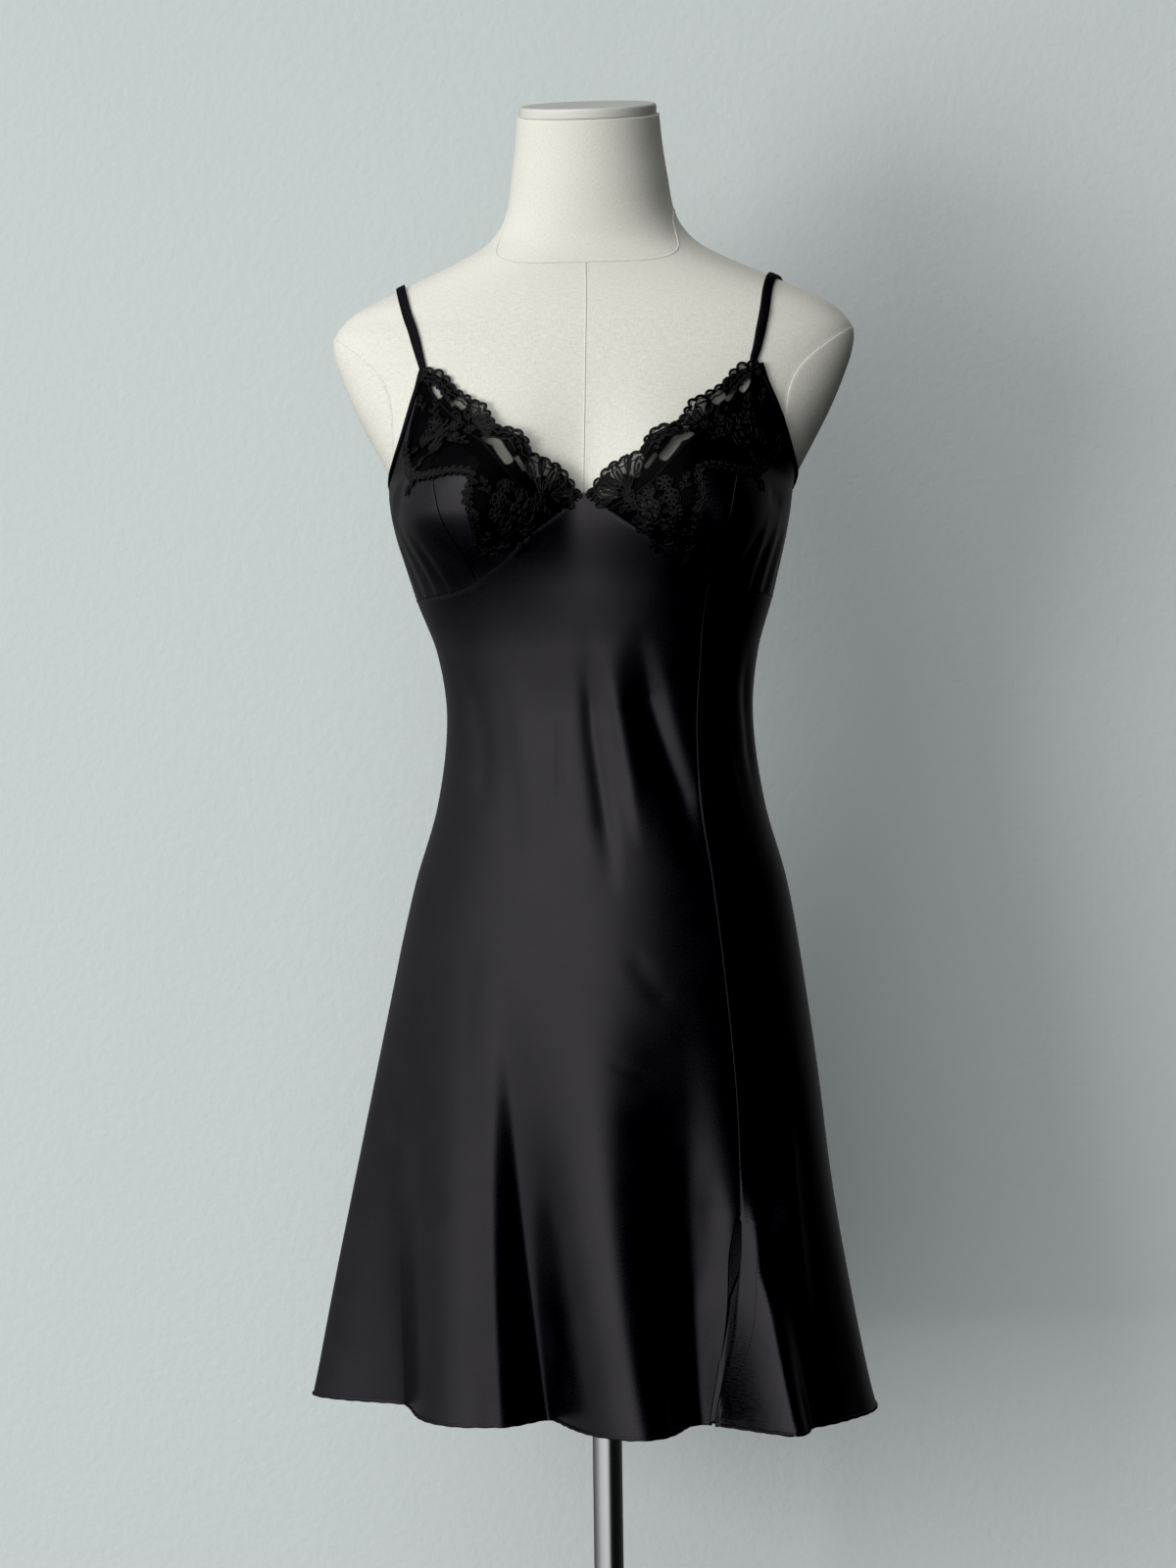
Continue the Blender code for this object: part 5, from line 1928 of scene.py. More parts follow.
@dataclass
class Drawing:
    """Flat lace work: lines by their weight, small knots and filled shapes, in metres."""

    lines: list[tuple[Weight, Array, bool]] = field(default_factory=list)
    knots: list[Array] = field(default_factory=list)
    pads: list[Array] = field(default_factory=list)

    def line(self, weight: Weight, points: Array, closed: bool = False) -> None:
        """Adds a line."""
        self.lines.append((weight, np.asarray(points, float), closed))

    def placed(self, other: "Drawing", x: float, y: float, turn: float = 0.0, scale: float = 1.0) -> None:
        """Adds another drawing, turned by degrees and moved."""
        c, s = math.cos(math.radians(turn)), math.sin(math.radians(turn))
        matrix = np.array([[c, -s], [s, c]]) * scale
        move = np.array([x, y])
        self.lines += [(weight, points @ matrix + move, closed) for weight, points, closed in other.lines]
        self.knots += [points @ matrix + move for points in other.knots]
        self.pads += [points @ matrix + move for points in other.pads]


def oval(length: float, width: float, base: float = 0.45, start: float = 0.0) -> Array:
    """A petal's outline, from its foot at (0, start) up.

    Args:
        length: From foot to tip.
        width: Its greatest width.
        base: How wide the foot is, as a share of the width.
        start: How far the foot lies from the origin.

    Returns:
        The points of a closed line.
    """
    turn = np.linspace(0, math.tau, max(14, int(2.4 * length / 0.0011)), endpoint=False)
    up = (1 - np.cos(turn)) / 2
    return np.stack([np.sin(turn) * width / 2 * (base + (1 - base) * up**0.8), start + length * up], -1)


def shrunk(outline: Array, share: float) -> Array:
    """A closed line drawn in towards its middle."""
    middle = outline.mean(0)
    return middle + (outline - middle) * share


def oval_loop(length: float, width: float) -> Drawing:
    """A small open loop about its own middle."""
    drawing = Drawing()
    drawing.line(Weight.THREAD, oval(length, width, 0.8, -length / 2), True)
    return drawing


def petal(length: float, width: float, start: float) -> Drawing:
    """A petal of a fan: two cords round an open oval, with a worked eye and fine threads."""
    drawing = Drawing()
    outline = oval(length, width, 0.55, start)
    drawing.line(Weight.CORD, outline, True)
    drawing.line(Weight.YARN, shrunk(outline, 0.82), True)
    eye = oval(length * 0.50, width * 0.26, 0.8, start + length * 0.20)
    drawing.line(Weight.YARN, eye, True)
    drawing.pads.append(shrunk(eye, 0.9))
    for index in range(0, len(outline), 4):
        target = eye[int(index * len(eye) / len(outline))]
        drawing.line(Weight.THREAD, np.linspace(outline[index], target, 3))
    return drawing


def flower(radius: float, petals: int, turn: float = 0.0) -> Drawing:
    """A small flower: looped petals round a ring of knots."""
    drawing = Drawing()
    width = 2.3 * radius * math.sin(math.pi / petals)
    heavy = Weight.CORD if radius > 0.0065 else Weight.YARN
    for index in range(petals):
        one = Drawing()
        uneven = 1 + 0.18 * math.sin(2.1 * index + turn)
        one.line(heavy, oval(radius * 0.78 * uneven, width, 0.5, radius * 0.24), True)
        one.line(Weight.YARN, oval(radius * 0.54, width * 0.62, 0.6, radius * 0.34), True)
        if heavy is Weight.CORD:
            one.pads.append(oval(radius * 0.50 * uneven, width * 0.50, 0.6, radius * 0.34))
        drawing.placed(one, 0, 0, turn + index * 360 / petals + 9 * math.sin(1.7 * index + turn))
    ring = np.linspace(0, math.tau, 12, endpoint=False)
    drawing.line(heavy, np.stack([np.cos(ring), np.sin(ring)], -1) * radius * 0.24, True)
    drawing.knots.append(np.array([[0.0, 0.0]]))
    drawing.knots.append(np.stack([np.cos(ring[::3]), np.sin(ring[::3])], -1) * radius * 0.13)
    return drawing


def leaf(length: float, width: float, ribs: int = 4) -> Drawing:
    """A pointed leaf with a midrib and side ribs."""
    drawing = Drawing()
    t = np.linspace(0, 1, max(6, int(length / 0.0012)))
    half = width / 2 * np.sin(math.pi * t) ** 0.8 * (1.15 - 0.3 * t)
    edge = np.vstack([np.stack([half, t * length], -1), np.stack([-half, t * length], -1)[-2:0:-1]])
    drawing.line(Weight.CORD if length > 0.006 else Weight.YARN, edge, True)
    drawing.line(Weight.YARN, np.array([[0, 0], [0, length * 0.5], [0, length * 0.92]]))
    for index in range(1, ribs + 1):
        foot = length * index / (ribs + 2)
        for sign in (-1, 1):
            drawing.line(Weight.THREAD, np.array([[0, foot], [sign * width * 0.34, foot + length * 0.13]]))
    return drawing


def wreath(count: int, radius: float, size: float) -> Drawing:
    """Leaves that point out from a ring, of uneven length."""
    drawing = Drawing()
    for index in range(count):
        one = Drawing()
        length = size * (1.0 + 0.22 * math.sin(2.4 * index))
        one.placed(leaf(length, length * 0.52, 2), 0, radius)
        drawing.placed(one, 0, 0, index * 360 / count)
    return drawing


def spray(count: int, length: float, size: float) -> Drawing:
    """A bent stem with leaves in turn on both sides and one at its tip."""
    drawing = Drawing()
    t = np.linspace(0, 1, 14)
    stem = np.stack([0.12 * length * np.sin(math.pi * t), length * t], -1)
    drawing.line(Weight.YARN, stem)
    for index in range(count):
        at = (index + 1) / (count + 1)
        x, y = 0.12 * length * math.sin(math.pi * at), length * at
        drawing.placed(leaf(size, size * 0.5, 2), x, y, 50 if index % 2 else -50)
    drawing.placed(leaf(size * 1.1, size * 0.55, 2), 0, length, 0)
    return drawing


def fan(petals: Sequence[tuple[float, float, float, float]]) -> Drawing:
    """A fan of petals about a knotted foot.

    Args:
        petals: For each, its direction in degrees, where it starts, its length and its width.

    Returns:
        The drawing.
    """
    drawing = Drawing()
    for turn, start, length, width in petals:
        drawing.placed(petal(length, width, start), 0, 0, turn)
        drawing.line(
            Weight.YARN,
            np.array([[0, 0], [math.sin(math.radians(turn)) * start, math.cos(math.radians(turn)) * start]]),
        )
    drawing.placed(flower(0.0042, 5), 0, 0)
    return drawing


BORDER = (  # the scalloped edge from the strap to the middle: azimuth from the middle, height
    (64.2, 1.3300),
    (60.0, 1.3262),
    (54.6, 1.3135),
    (48.2, 1.3040),
    (43.8, 1.3008),
    (38.8, 1.2900),
    (34.3, 1.2818),
    (27.5, 1.2785),
    (23.5, 1.2710),
    (21.2, 1.2620),
    (17.6, 1.2575),
    (13.8, 1.2535),
    (9.4, 1.2488),
    (6.4, 1.2410),
    (3.6, 1.2340),
    (1.0, 1.2295),
)
VINE = (  # the leafy frame from the armhole round to the seam under the cup
    (66.8, 1.2770),
    (66.2, 1.2660),
    (62.0, 1.2560),
    (55.5, 1.2485),
    (50.0, 1.2462),
    (44.5, 1.2470),
    (39.5, 1.2488),
    (34.5, 1.2470),
    (33.0, 1.2400),
    (33.4, 1.2310),
    (32.6, 1.2210),
    (32.0, 1.2110),
    (32.8, 1.2010),
    (34.2, 1.1935),
    (31.6, 1.1905),
    (28.4, 1.1940),
    (25.4, 1.1955),
)
NET_SECTIONS = SmoothTable(  # place, azimuth and height at the scallops, the same at the vine
    [
        (0, 64.0, 1.3300, 65.2, 1.3240),
        (1, 57.0, 1.3200, 64.6, 1.3080),
        (2, 51.5, 1.3080, 66.2, 1.2830),
        (3, 45.5, 1.3020, 66.2, 1.2640),
        (4, 38.0, 1.2885, 55.0, 1.2470),
        (5, 31.0, 1.2805, 42.0, 1.2465),
        (6, 24.0, 1.2725, 35.0, 1.2440),
        (7, 18.5, 1.2590, 33.2, 1.2240),
        (8, 12.5, 1.2525, 33.2, 1.1925),
        (9, 6.6, 1.2420, 25.5, 1.1935),
        (10, 1.4, 1.2305, 6.0, 1.2245),
    ]
)


OPENINGS = (  # azimuth and height of both ends of each open spot, half its width, its cover
    (45.0, 1.2610, 37.0, 1.2500, 0.0095, 0.42),
    (31.5, 1.2420, 28.5, 1.2080, 0.0050, 0.50),
    (61.0, 1.2890, 63.5, 1.2680, 0.0060, 0.48),
    (61.3, 1.3165, 58.9, 1.3096, 0.0020, 0.12),
    (56.4, 1.3081, 53.9, 1.3014, 0.0008, 0.34),
    (40.5, 1.2816, 35.7, 1.2768, 0.0010, 0.34),
    (36.6, 1.2738, 31.6, 1.2695, 0.0021, 0.10),
    (31.6, 1.2690, 25.9, 1.2556, 0.0024, 0.10),
    (24.0, 1.2579, 20.8, 1.2489, 0.0009, 0.34),
    (52.6, 1.3052, 50.2, 1.3008, 0.0028, 0.22),
    (46.2, 1.3012, 44.4, 1.2936, 0.0028, 0.22),
    (41.6, 1.2945, 40.4, 1.2872, 0.0028, 0.22),
    (38.2, 1.2855, 36.4, 1.2810, 0.0026, 0.22),
    (18.9, 1.2560, 17.3, 1.2450, 0.0034, 0.22),
    (14.3, 1.2560, 14.2, 1.2478, 0.0030, 0.22),
    (11.0, 1.2482, 12.8, 1.2396, 0.0034, 0.22),
    (6.4, 1.2318, 10.6, 1.2300, 0.0032, 0.22),
    (4.6, 1.2215, 8.0, 1.2250, 0.0026, 0.60),
)
WORKED_COVER = 0.88


def ground_cover(azimuth: Array, height: Array) -> Array:
    """How much the lace's ground hides at places on a cup, by azimuth from the bodice's middle."""
    cover = np.full(np.shape(azimuth), WORKED_COVER)
    for a, z, b, w, half, open_cover in OPENINGS:
        start, step = np.array([a * METRES_PER_DEGREE, z]), np.array([(b - a) * METRES_PER_DEGREE, w - z])
        dx, dy = azimuth * METRES_PER_DEGREE - start[0], height - start[1]
        share = np.clip((dx * step[0] + dy * step[1]) / (step @ step), 0, 1)
        distance = np.hypot(dx - share * step[0], dy - share * step[1])
        t = np.clip((distance - half) / 0.0011, 0, 1)
        cover = np.minimum(cover, open_cover + (WORKED_COVER - open_cover) * t * t * (3 - 2 * t))
    return cover


@dataclass
class Lace:
    """The lace of one cup: tulle, net, scalloped border, leafy frame, fans and flowers."""

    side: Side
    finishes: Finishes
    tools: Tools
    cell: float = 0.0019
    net_thread: float = 0.00014
    scallops: int = 21
    scallop_depth: float = 0.0026
    border_gap: float = 0.0021
    window_spans: Sequence[tuple[float, float, float]] = (  # from, to, how deep the border is there
        (66.0, 53.5, 0.0080),
        (40.0, 21.5, 0.0096),
        (8.0, 1.5, 0.0066),
    )
    surface: ClothSurface = field(init=False)
    random: np.random.Generator = field(init=False)

    def __post_init__(self) -> None:
        """Takes the surface under the lace, and a fixed source of small irregularities."""
        self.surface = ClothSurface((), CUP_CREASES[self.side])
        self.random = np.random.default_rng(7)

    def spots(self, rows: Spots) -> Array:
        """Rows of azimuth and height on this side, from azimuths off the bodice's middle."""
        rows = np.array(rows, float)
        rows[:, 0] = self.side.value * rows[:, 0] + bodice_turn(rows[:, 1], self.side)
        return rows

    def path(self, rows: Spots, spacing: float) -> Array:
        """A smooth line through places on the cloth."""
        spots = self.spots(rows)
        return smooth_path(self.surface.points(spots[:, 0], spots[:, 1]), spacing)

    def beside(self, path: Array, distance: Array | float) -> Array:
        """A line moved along the cloth, away from the middle of the cup when positive."""
        azimuth = np.degrees(np.arctan2(path[:, 0] - CLOTH_RINGS.column(path[:, 2], 5), -path[:, 1]))
        normals = self.surface.normals(azimuth, path[:, 2])
        away = unit(np.cross(normals, along_path(path))) * -self.side.value
        return path + away * np.asarray(distance)[..., None]

    def laid(self, weight: Weight, points: Array, raise_by: float = 0.0) -> Array:
        """Points of a line of lace work, brought onto the cloth."""
        base = THREAD_LIFT if weight is Weight.THREAD else CORD_LIFT
        return self.surface.clung(points, base + raise_by)

    def build(self) -> None:
        label = self.side.label
        tulle = self.tulle()
        net = self.net()
        work: dict[Weight, list[tuple[Array, bool]]] = {weight: [] for weight in Weight}
        knots: list[Array] = []
        pads: list[Array] = []
        self.border(work)
        self.vine(work, knots)
        self.motifs(work, knots, pads)
        for weight, lines in work.items():
            diameter, sides = weight.value
            obj = line_mesh(
                f"lace_{weight.name.lower()}_{label}",
                [line for line, _ in lines],
                [loop for _, loop in lines],
            )
            self.tools.cord.run(obj, self.finishes.yarn, Diameter=diameter, Sides=sides)
            settle(obj, "lace")
        dots = make_mesh(f"lace_knots_{label}", np.vstack(knots))
        self.tools.knot.run(dots, self.finishes.yarn, Radius=0.00075)
        settle(dots, "lace")
        self.filled(pads)

    def tulle(self) -> bpy.types.Object:
        """The sheer ground of the lace."""
        rows = NET_SECTIONS.at(np.linspace(0, 10, 190))
        u = np.linspace(0, 1, 80)[None, :]
        azimuth = rows[:, 1:2] * (1 - u) + rows[:, 3:4] * u
        height = rows[:, 2:3] * (1 - u) + rows[:, 4:5] * u
        cover = ground_cover(azimuth, height)
        azimuth = self.side.value * azimuth + bodice_turn(height, self.side)
        if self.side is Side.LEFT:
            azimuth, height, cover = azimuth[::-1], height[::-1], cover[::-1]
        azimuth, height, cover = azimuth.T[::-1], height.T[::-1], cover.T[::-1]
        normals = self.surface.normals(azimuth, height)
        outer = self.surface.points(azimuth, height) + normals * NET_LIFT
        obj = shell(f"lace_tulle_{self.side.label}", outer, normals, 0.0001, cloth_uv(azimuth, height))
        set_cover(obj, np.concatenate([cover.ravel()] * 2))
        dress(obj, self.finishes.tulle, self.finishes.tulle)
        return settle(obj, "lace", f"lace_{self.side.label}")

    def net(self) -> bpy.types.Object:
        """The hexagonal net, cut to the lace's outline."""
        shares = np.linspace(0, 10, 60)
        rows = NET_SECTIONS.at(shares)
        outline = np.vstack([rows[:, 1:3], rows[::-1, 3:5]]) * [METRES_PER_DEGREE, 1.0]
        low, high = outline.min(0), outline.max(0)
        step_x, step_y = self.cell, self.cell * 1.5 / math.sqrt(3)
        points, edges = [], []
        columns, lines = int((high[0] - low[0]) / step_x) + 2, int((high[1] - low[1]) / step_y) + 2
        number = {}
        half = self.cell / math.sqrt(3) / 2
        for row in range(lines):
            for column in range(columns):
                x = low[0] + (column + 0.5 * (row % 2)) * step_x
                y = low[1] + row * step_y
                for up in (0, 1):
                    number[row, column, up] = len(points)
                    points.append((x, y + (half if up else -half)))
        for row in range(lines):
            for column in range(columns):
                edges.append((number[row, column, 0], number[row, column, 1]))
                for aside in (column - 1 + row % 2, column + row % 2):
                    key = (row + 1, aside, 0)
                    if key in number:
                        edges.append((number[row, column, 1], number[key]))
        flat = np.array(points)
        inside = within(flat, outline)
        kept = [(a, b) for a, b in edges if inside[a] and inside[b]]
        used = sorted({index for edge in kept for index in edge})
        renumber = {old: new for new, old in enumerate(used)}
        spots = flat[used] / [METRES_PER_DEGREE, 1.0]
        placed = self.surface.lifted(
            self.side.value * spots[:, 0] + bodice_turn(spots[:, 1], self.side), spots[
                :, 1
            ], NET_LIFT + self.net_thread / 2
        )
        obj = make_mesh(
            f"lace_net_{self.side.label}", placed, edges=[(renumber[a], renumber[b]) for a, b in kept]
        )
        self.tools.cord.run(obj, self.finishes.nylon, Diameter=self.net_thread, Sides=3)
        return settle(obj, "lace")

    def border(self, work: dict[Weight, list[tuple[Array, bool]]]) -> None:
        """The scalloped edge: arches of double cord with rungs, and a worked band beside the windows."""
        path = self.path(BORDER, 0.0005)
        share = np.linspace(0, 1, len(path))
        phase = share * self.scallops
        size = 0.75 + 0.5 * self.random.random(self.scallops + 1)[phase.astype(int)]
        bulge = self.scallop_depth * size * np.abs(np.sin(math.pi * phase)) ** 0.7
        outer = self.beside(path, bulge)
        arch = self.beside(path, bulge * 0.85 - self.border_gap)
        foot = self.beside(path, -2.0 * self.border_gap + 0.0004 * np.sin(math.tau * phase))
        rim = self.beside(path, bulge - 0.0011)
        for weight, line in (
            (Weight.CORD, outer), (Weight.CORD, rim), (Weight.YARN, arch), (Weight.CORD, foot)
        ):
            work[weight].append((self.laid(weight, line), False))
        for index in range(2, len(path) - 2, 4):
            rung = np.linspace(rim[index], arch[index], 3)
            work[Weight.THREAD].append((self.laid(Weight.THREAD, rung, 0.0003), False))
        for number in range(self.scallops):
            index = int((number + 0.5) / self.scallops * (len(path) - 1))
            middle = (arch[index] + foot[index]) / 2
            self.along(work, oval_loop(0.0052, 0.0024), path, index, 0.0, middle)
        step = 3
        for start, end, depth in self.beside_windows(path):
            low = self.beside(path, -depth + 0.0005 * np.sin(math.tau * phase * 1.4))
            work[Weight.CORD].append((self.laid(Weight.CORD, low[start:end]), False))
            middle = (low + foot) / 2
            for index in range(start + 3, end - 3, 7):
                sign = 1 if index % 2 else -1
                self.along(work, leaf(0.0050, 0.0028, 1), path, index, sign * 62.0, middle[index])
            for index in range(start, end - step, step):
                pair = (foot[index], low[index + step]) if index // step % 2 else (
                    low[index], foot[index + step]
                )
                work[Weight.THREAD].append((self.laid(Weight.THREAD, np.linspace(*pair, 4)), False))

    def beside_windows(self, path: Array) -> list[tuple[int, int, float]]:
        """The stretches of the border beside an open window: first number, last number, depth."""
        azimuth = np.degrees(np.arctan2(path[:, 0] - CLOTH_RINGS.column(path[:, 2], 5), -path[:, 1]))
        off = np.abs(azimuth - bodice_turn(path[:, 2], self.side))
        stretches = []
        for high, low, depth in self.window_spans:
            inside = np.flatnonzero((off <= high) & (off >= low))
            stretches.append((int(inside[0]), int(inside[-1]), depth))
        return stretches

    def vine(self, work: dict[Weight, list[tuple[Array, bool]]], knots: list[Array]) -> None:
        """The leafy frame: two strands that cross, with leaflets in turn on both sides."""
        path = self.path(VINE, 0.0007)
        sway = np.arange(len(path)) * 0.0007 / 0.0075 * math.pi
        for sign in (-1, 1):
            strand = self.beside(path, sign * 0.0010 * np.sin(sway))
            work[Weight.CORD].append((self.laid(Weight.CORD, strand, 0.0002 * sign), False))
            loops = self.beside(path, sign * (0.0019 + 0.0010 * np.sin(sway * 2.7)))
            work[Weight.YARN].append((self.laid(Weight.YARN, loops, 0.0003), False))
        for number, index in enumerate(range(4, len(path) - 4, 4)):
            sign = 1 if number % 2 else -1
            size = 0.0040 + 0.0014 * self.random.random()
            drawing = leaf(size, size * 0.62, 1)
            self.along(work, drawing, path, index, sign * (48 + 24 * self.random.random()))
            if number % 3 == 0:
                knots.append(
                    self.surface.clung(self.beside(path, -sign * 0.0022)[index : index + 1], CORD_LIFT)
                )

    def along(
        self,
        work: dict[Weight, list[tuple[Array, bool]]],
        drawing: Drawing,
        path: Array,
        index: int,
        turn: float,
        place: Array | None = None,
    ) -> None:
        """Lays a drawing at a point of a path, turned by degrees from its direction.

        Args:
            work: Where its lines are added.
            drawing: The drawing.
            path: The path.
            index: The number of the path's point.
            turn: How far the drawing is turned.
            place: Where its origin goes, if not at the point.
        """
        origin = path[index] if place is None else place
        forward = along_path(path[max(index - 2, 0) : index + 3])[2]
        azimuth = math.degrees(
            math.atan2(path[index, 0] - CLOTH_RINGS.column(path[index, 2], 5), -path[index, 1])
        )
        normal = self.surface.normals(azimuth, path[index, 2])
        aside = np.cross(normal, forward)
        c, s = math.cos(math.radians(turn)), math.sin(math.radians(turn))
        up = forward * c + aside * s
        across = np.cross(up, normal)
        for weight, points, closed in drawing.lines:
            spread = origin + points[:, :1] * across + points[:, 1:] * up
            work[weight].append((self.laid(weight, spread, 0.0002), closed))

    def motifs(
        self, work: dict[Weight, list[tuple[Array, bool]]], knots: list[Array], pads: list[Array]
    ) -> None:
        """The fans, flowers and sprays."""
        lower_fan = fan(
            [
                (24, 0.0140, 0.0145, 0.0080),
                (0, 0.0155, 0.0135, 0.0066),
                (-30, 0.0085, 0.0165, 0.0080),
                (-57, 0.0080, 0.0155, 0.0074),
                (-83, 0.0080, 0.0175, 0.0082),
                (-105, 0.0130, 0.0140, 0.0066),
                (-20, 0.0040, 0.0085, 0.0040),
                (12, 0.0040, 0.0095, 0.0042),
            ]
        )
        upper_fan = fan(
            [
                (44, 0.0150, 0.0115, 0.0062),
                (19, 0.0100, 0.0120, 0.0066),
                (-10, 0.0070, 0.0115, 0.0062),
                (-36, 0.0055, 0.0120, 0.0064),
                (-62, 0.0060, 0.0125, 0.0060),
                (-84, 0.0090, 0.0125, 0.0056),
            ]
        )
        places = [  # drawing, azimuth from the middle, height, turn, raise
            (lower_fan, 15.2, 1.2295, 0.0, 0.0),
            (upper_fan, 43.2, 1.2805, 0.0, 0.0),
            (wreath(9, 0.0085, 0.0062), 21.0, 1.2160, 8, 0.0),
            (wreath(8, 0.0080, 0.0058), 54.6, 1.2800, 30, 0.0),
            (flower(0.0092, 6, 10), 20.6, 1.2175, 0, 0.0006),
            (flower(0.0058, 7, 30), 24.6, 1.2362, 0, 0.0002),
            (flower(0.0060, 7, 50), 25.9, 1.2262, 0, 0.0003),
            (flower(0.0060, 7, 0), 16.2, 1.2235, 0, 0.0002),
            (flower(0.0062, 6, 70), 19.8, 1.2062, 0, 0.0003),
            (flower(0.0060, 7, 15), 25.4, 1.2062, 0, 0.0002),
            (flower(0.0056, 7, 40), 26.8, 1.2155, 0, 0.0002),
            (flower(0.0048, 7, 20), 20.6, 1.2300, 0, 0.0001),
            (flower(0.0088, 6, 25), 54.2, 1.2795, 0, 0.0006),
            (flower(0.0060, 7, 40), 57.8, 1.2880, 0, 0.0002),
            (flower(0.0058, 7, 10), 49.6, 1.2850, 0, 0.0002),
            (flower(0.0060, 7, 60), 52.6, 1.2690, 0, 0.0002),
            (flower(0.0056, 7, 20), 59.4, 1.2760, 0, 0.0002),
            (flower(0.0050, 7, 50), 47.6, 1.2755, 0, 0.0001),
            (spray(3, 0.011, 0.0052), 58.0, 1.2920, 12, 0.0),
            (spray(3, 0.011, 0.0050), 47.0, 1.2740, -110, 0.0),
            (spray(2, 0.010, 0.0052), 55.0, 1.2630, 165, 0.0),
            (spray(3, 0.011, 0.0056), 53.5, 1.2480, 172, 0.0),
            (spray(3, 0.010, 0.0052), 28.0, 1.2300, 30, 0.0),
            (spray(3, 0.011, 0.0050), 28.5, 1.2060, 140, 0.0),
            (spray(2, 0.009, 0.0048), 21.5, 1.2000, 165, 0.0),
            (spray(2, 0.009, 0.0048), 62.0, 1.2980, 20, 0.0),
            (leaf(0.0075, 0.0036), 30.5, 1.2170, 80, 0.0),
            (leaf(0.0070, 0.0034), 61.5, 1.2700, 110, 0.0),
            (leaf(0.0070, 0.0034), 11.0, 1.2270, -95, 0.0),
            (leaf(0.0065, 0.0034), 14.0, 1.2215, -150, 0.0),
            (leaf(0.0065, 0.0034), 38.5, 1.2790, -140, 0.0),
        ]
        sign = self.side.value
        for drawing, azimuth, height, turn, raised in places:
            turned = Drawing()
            turned.placed(drawing, 0, 0, turn)
            mirror = np.array([sign, 1.0])
            centre = (sign * azimuth + float(bodice_turn(height, self.side)), height)
            for weight, points, closed in turned.lines:
                spread = self.surface.flat_to_cloth(points * mirror, *centre)
                wander = raised + 0.0003 * self.random.random()
                work[weight].append((self.laid(weight, spread, wander), closed))
            for points in turned.knots:
                spread = self.surface.flat_to_cloth(points * mirror, *centre)
                knots.append(self.surface.clung(spread, CORD_LIFT + raised + 0.0004))
            for points in turned.pads:
                pads.append(
                    np.column_stack(
                        [self.surface.flat_to_cloth(points * mirror, *centre), np.full(len(points), raised)]
                    )
                )

    def filled(self, pads: Sequence[Array]) -> bpy.types.Object:
        """The worked fillings of the petals, as low cushions of thread."""
        levels = ((1.0, 0.0), (0.93, 0.00028), (0.72, 0.00045), (0.38, 0.00052))
        points, faces = [], []
        for pad in pads:
            outline, raised = pad[:, :3], pad[0, 3]
            middle = outline.mean(0)
            first, count = sum(len(p) for p in points), len(outline)
            for scale, rise in levels:
                ring = middle + (outline - middle) * scale
                points.append(self.surface.clung(ring, NET_LIFT + 0.0002 + raised * 0.4 + rise))
            top = self.surface.clung(middle[None], NET_LIFT + 0.0002 + raised * 0.4 + 0.00054)
            points.append(top)
            apex = first + len(levels) * count
            faces += [tuple(f) for f in grid_faces(len(levels), count, first, closed=True)]
            faces += [(apex - count + i, apex - count + (i + 1) % count, apex) for i in range(count)]
            faces.append(tuple(range(first + count - 1, first - 1, -1)))
        obj = make_mesh(f"lace_fillings_{self.side.label}", np.vstack(points), faces)
        outward(obj)
        dress(obj, self.finishes.yarn)
        return settle(obj, "lace")


def within(points: Array, outline: Array) -> Array:
    """Which flat points lie inside a closed outline."""
    inside = np.zeros(len(points), bool)
    for (ax, ay), (bx, by) in zip(outline, np.roll(outline, -1, axis=0), strict=True):
        crosses = (ay > points[:, 1]) != (by > points[:, 1])
        at = ax + (points[:, 1] - ay) / np.where(by == ay, 1e-12, by - ay) * (bx - ax)
        inside ^= crosses & (points[:, 0] < at)
    return inside


# The form and its stand


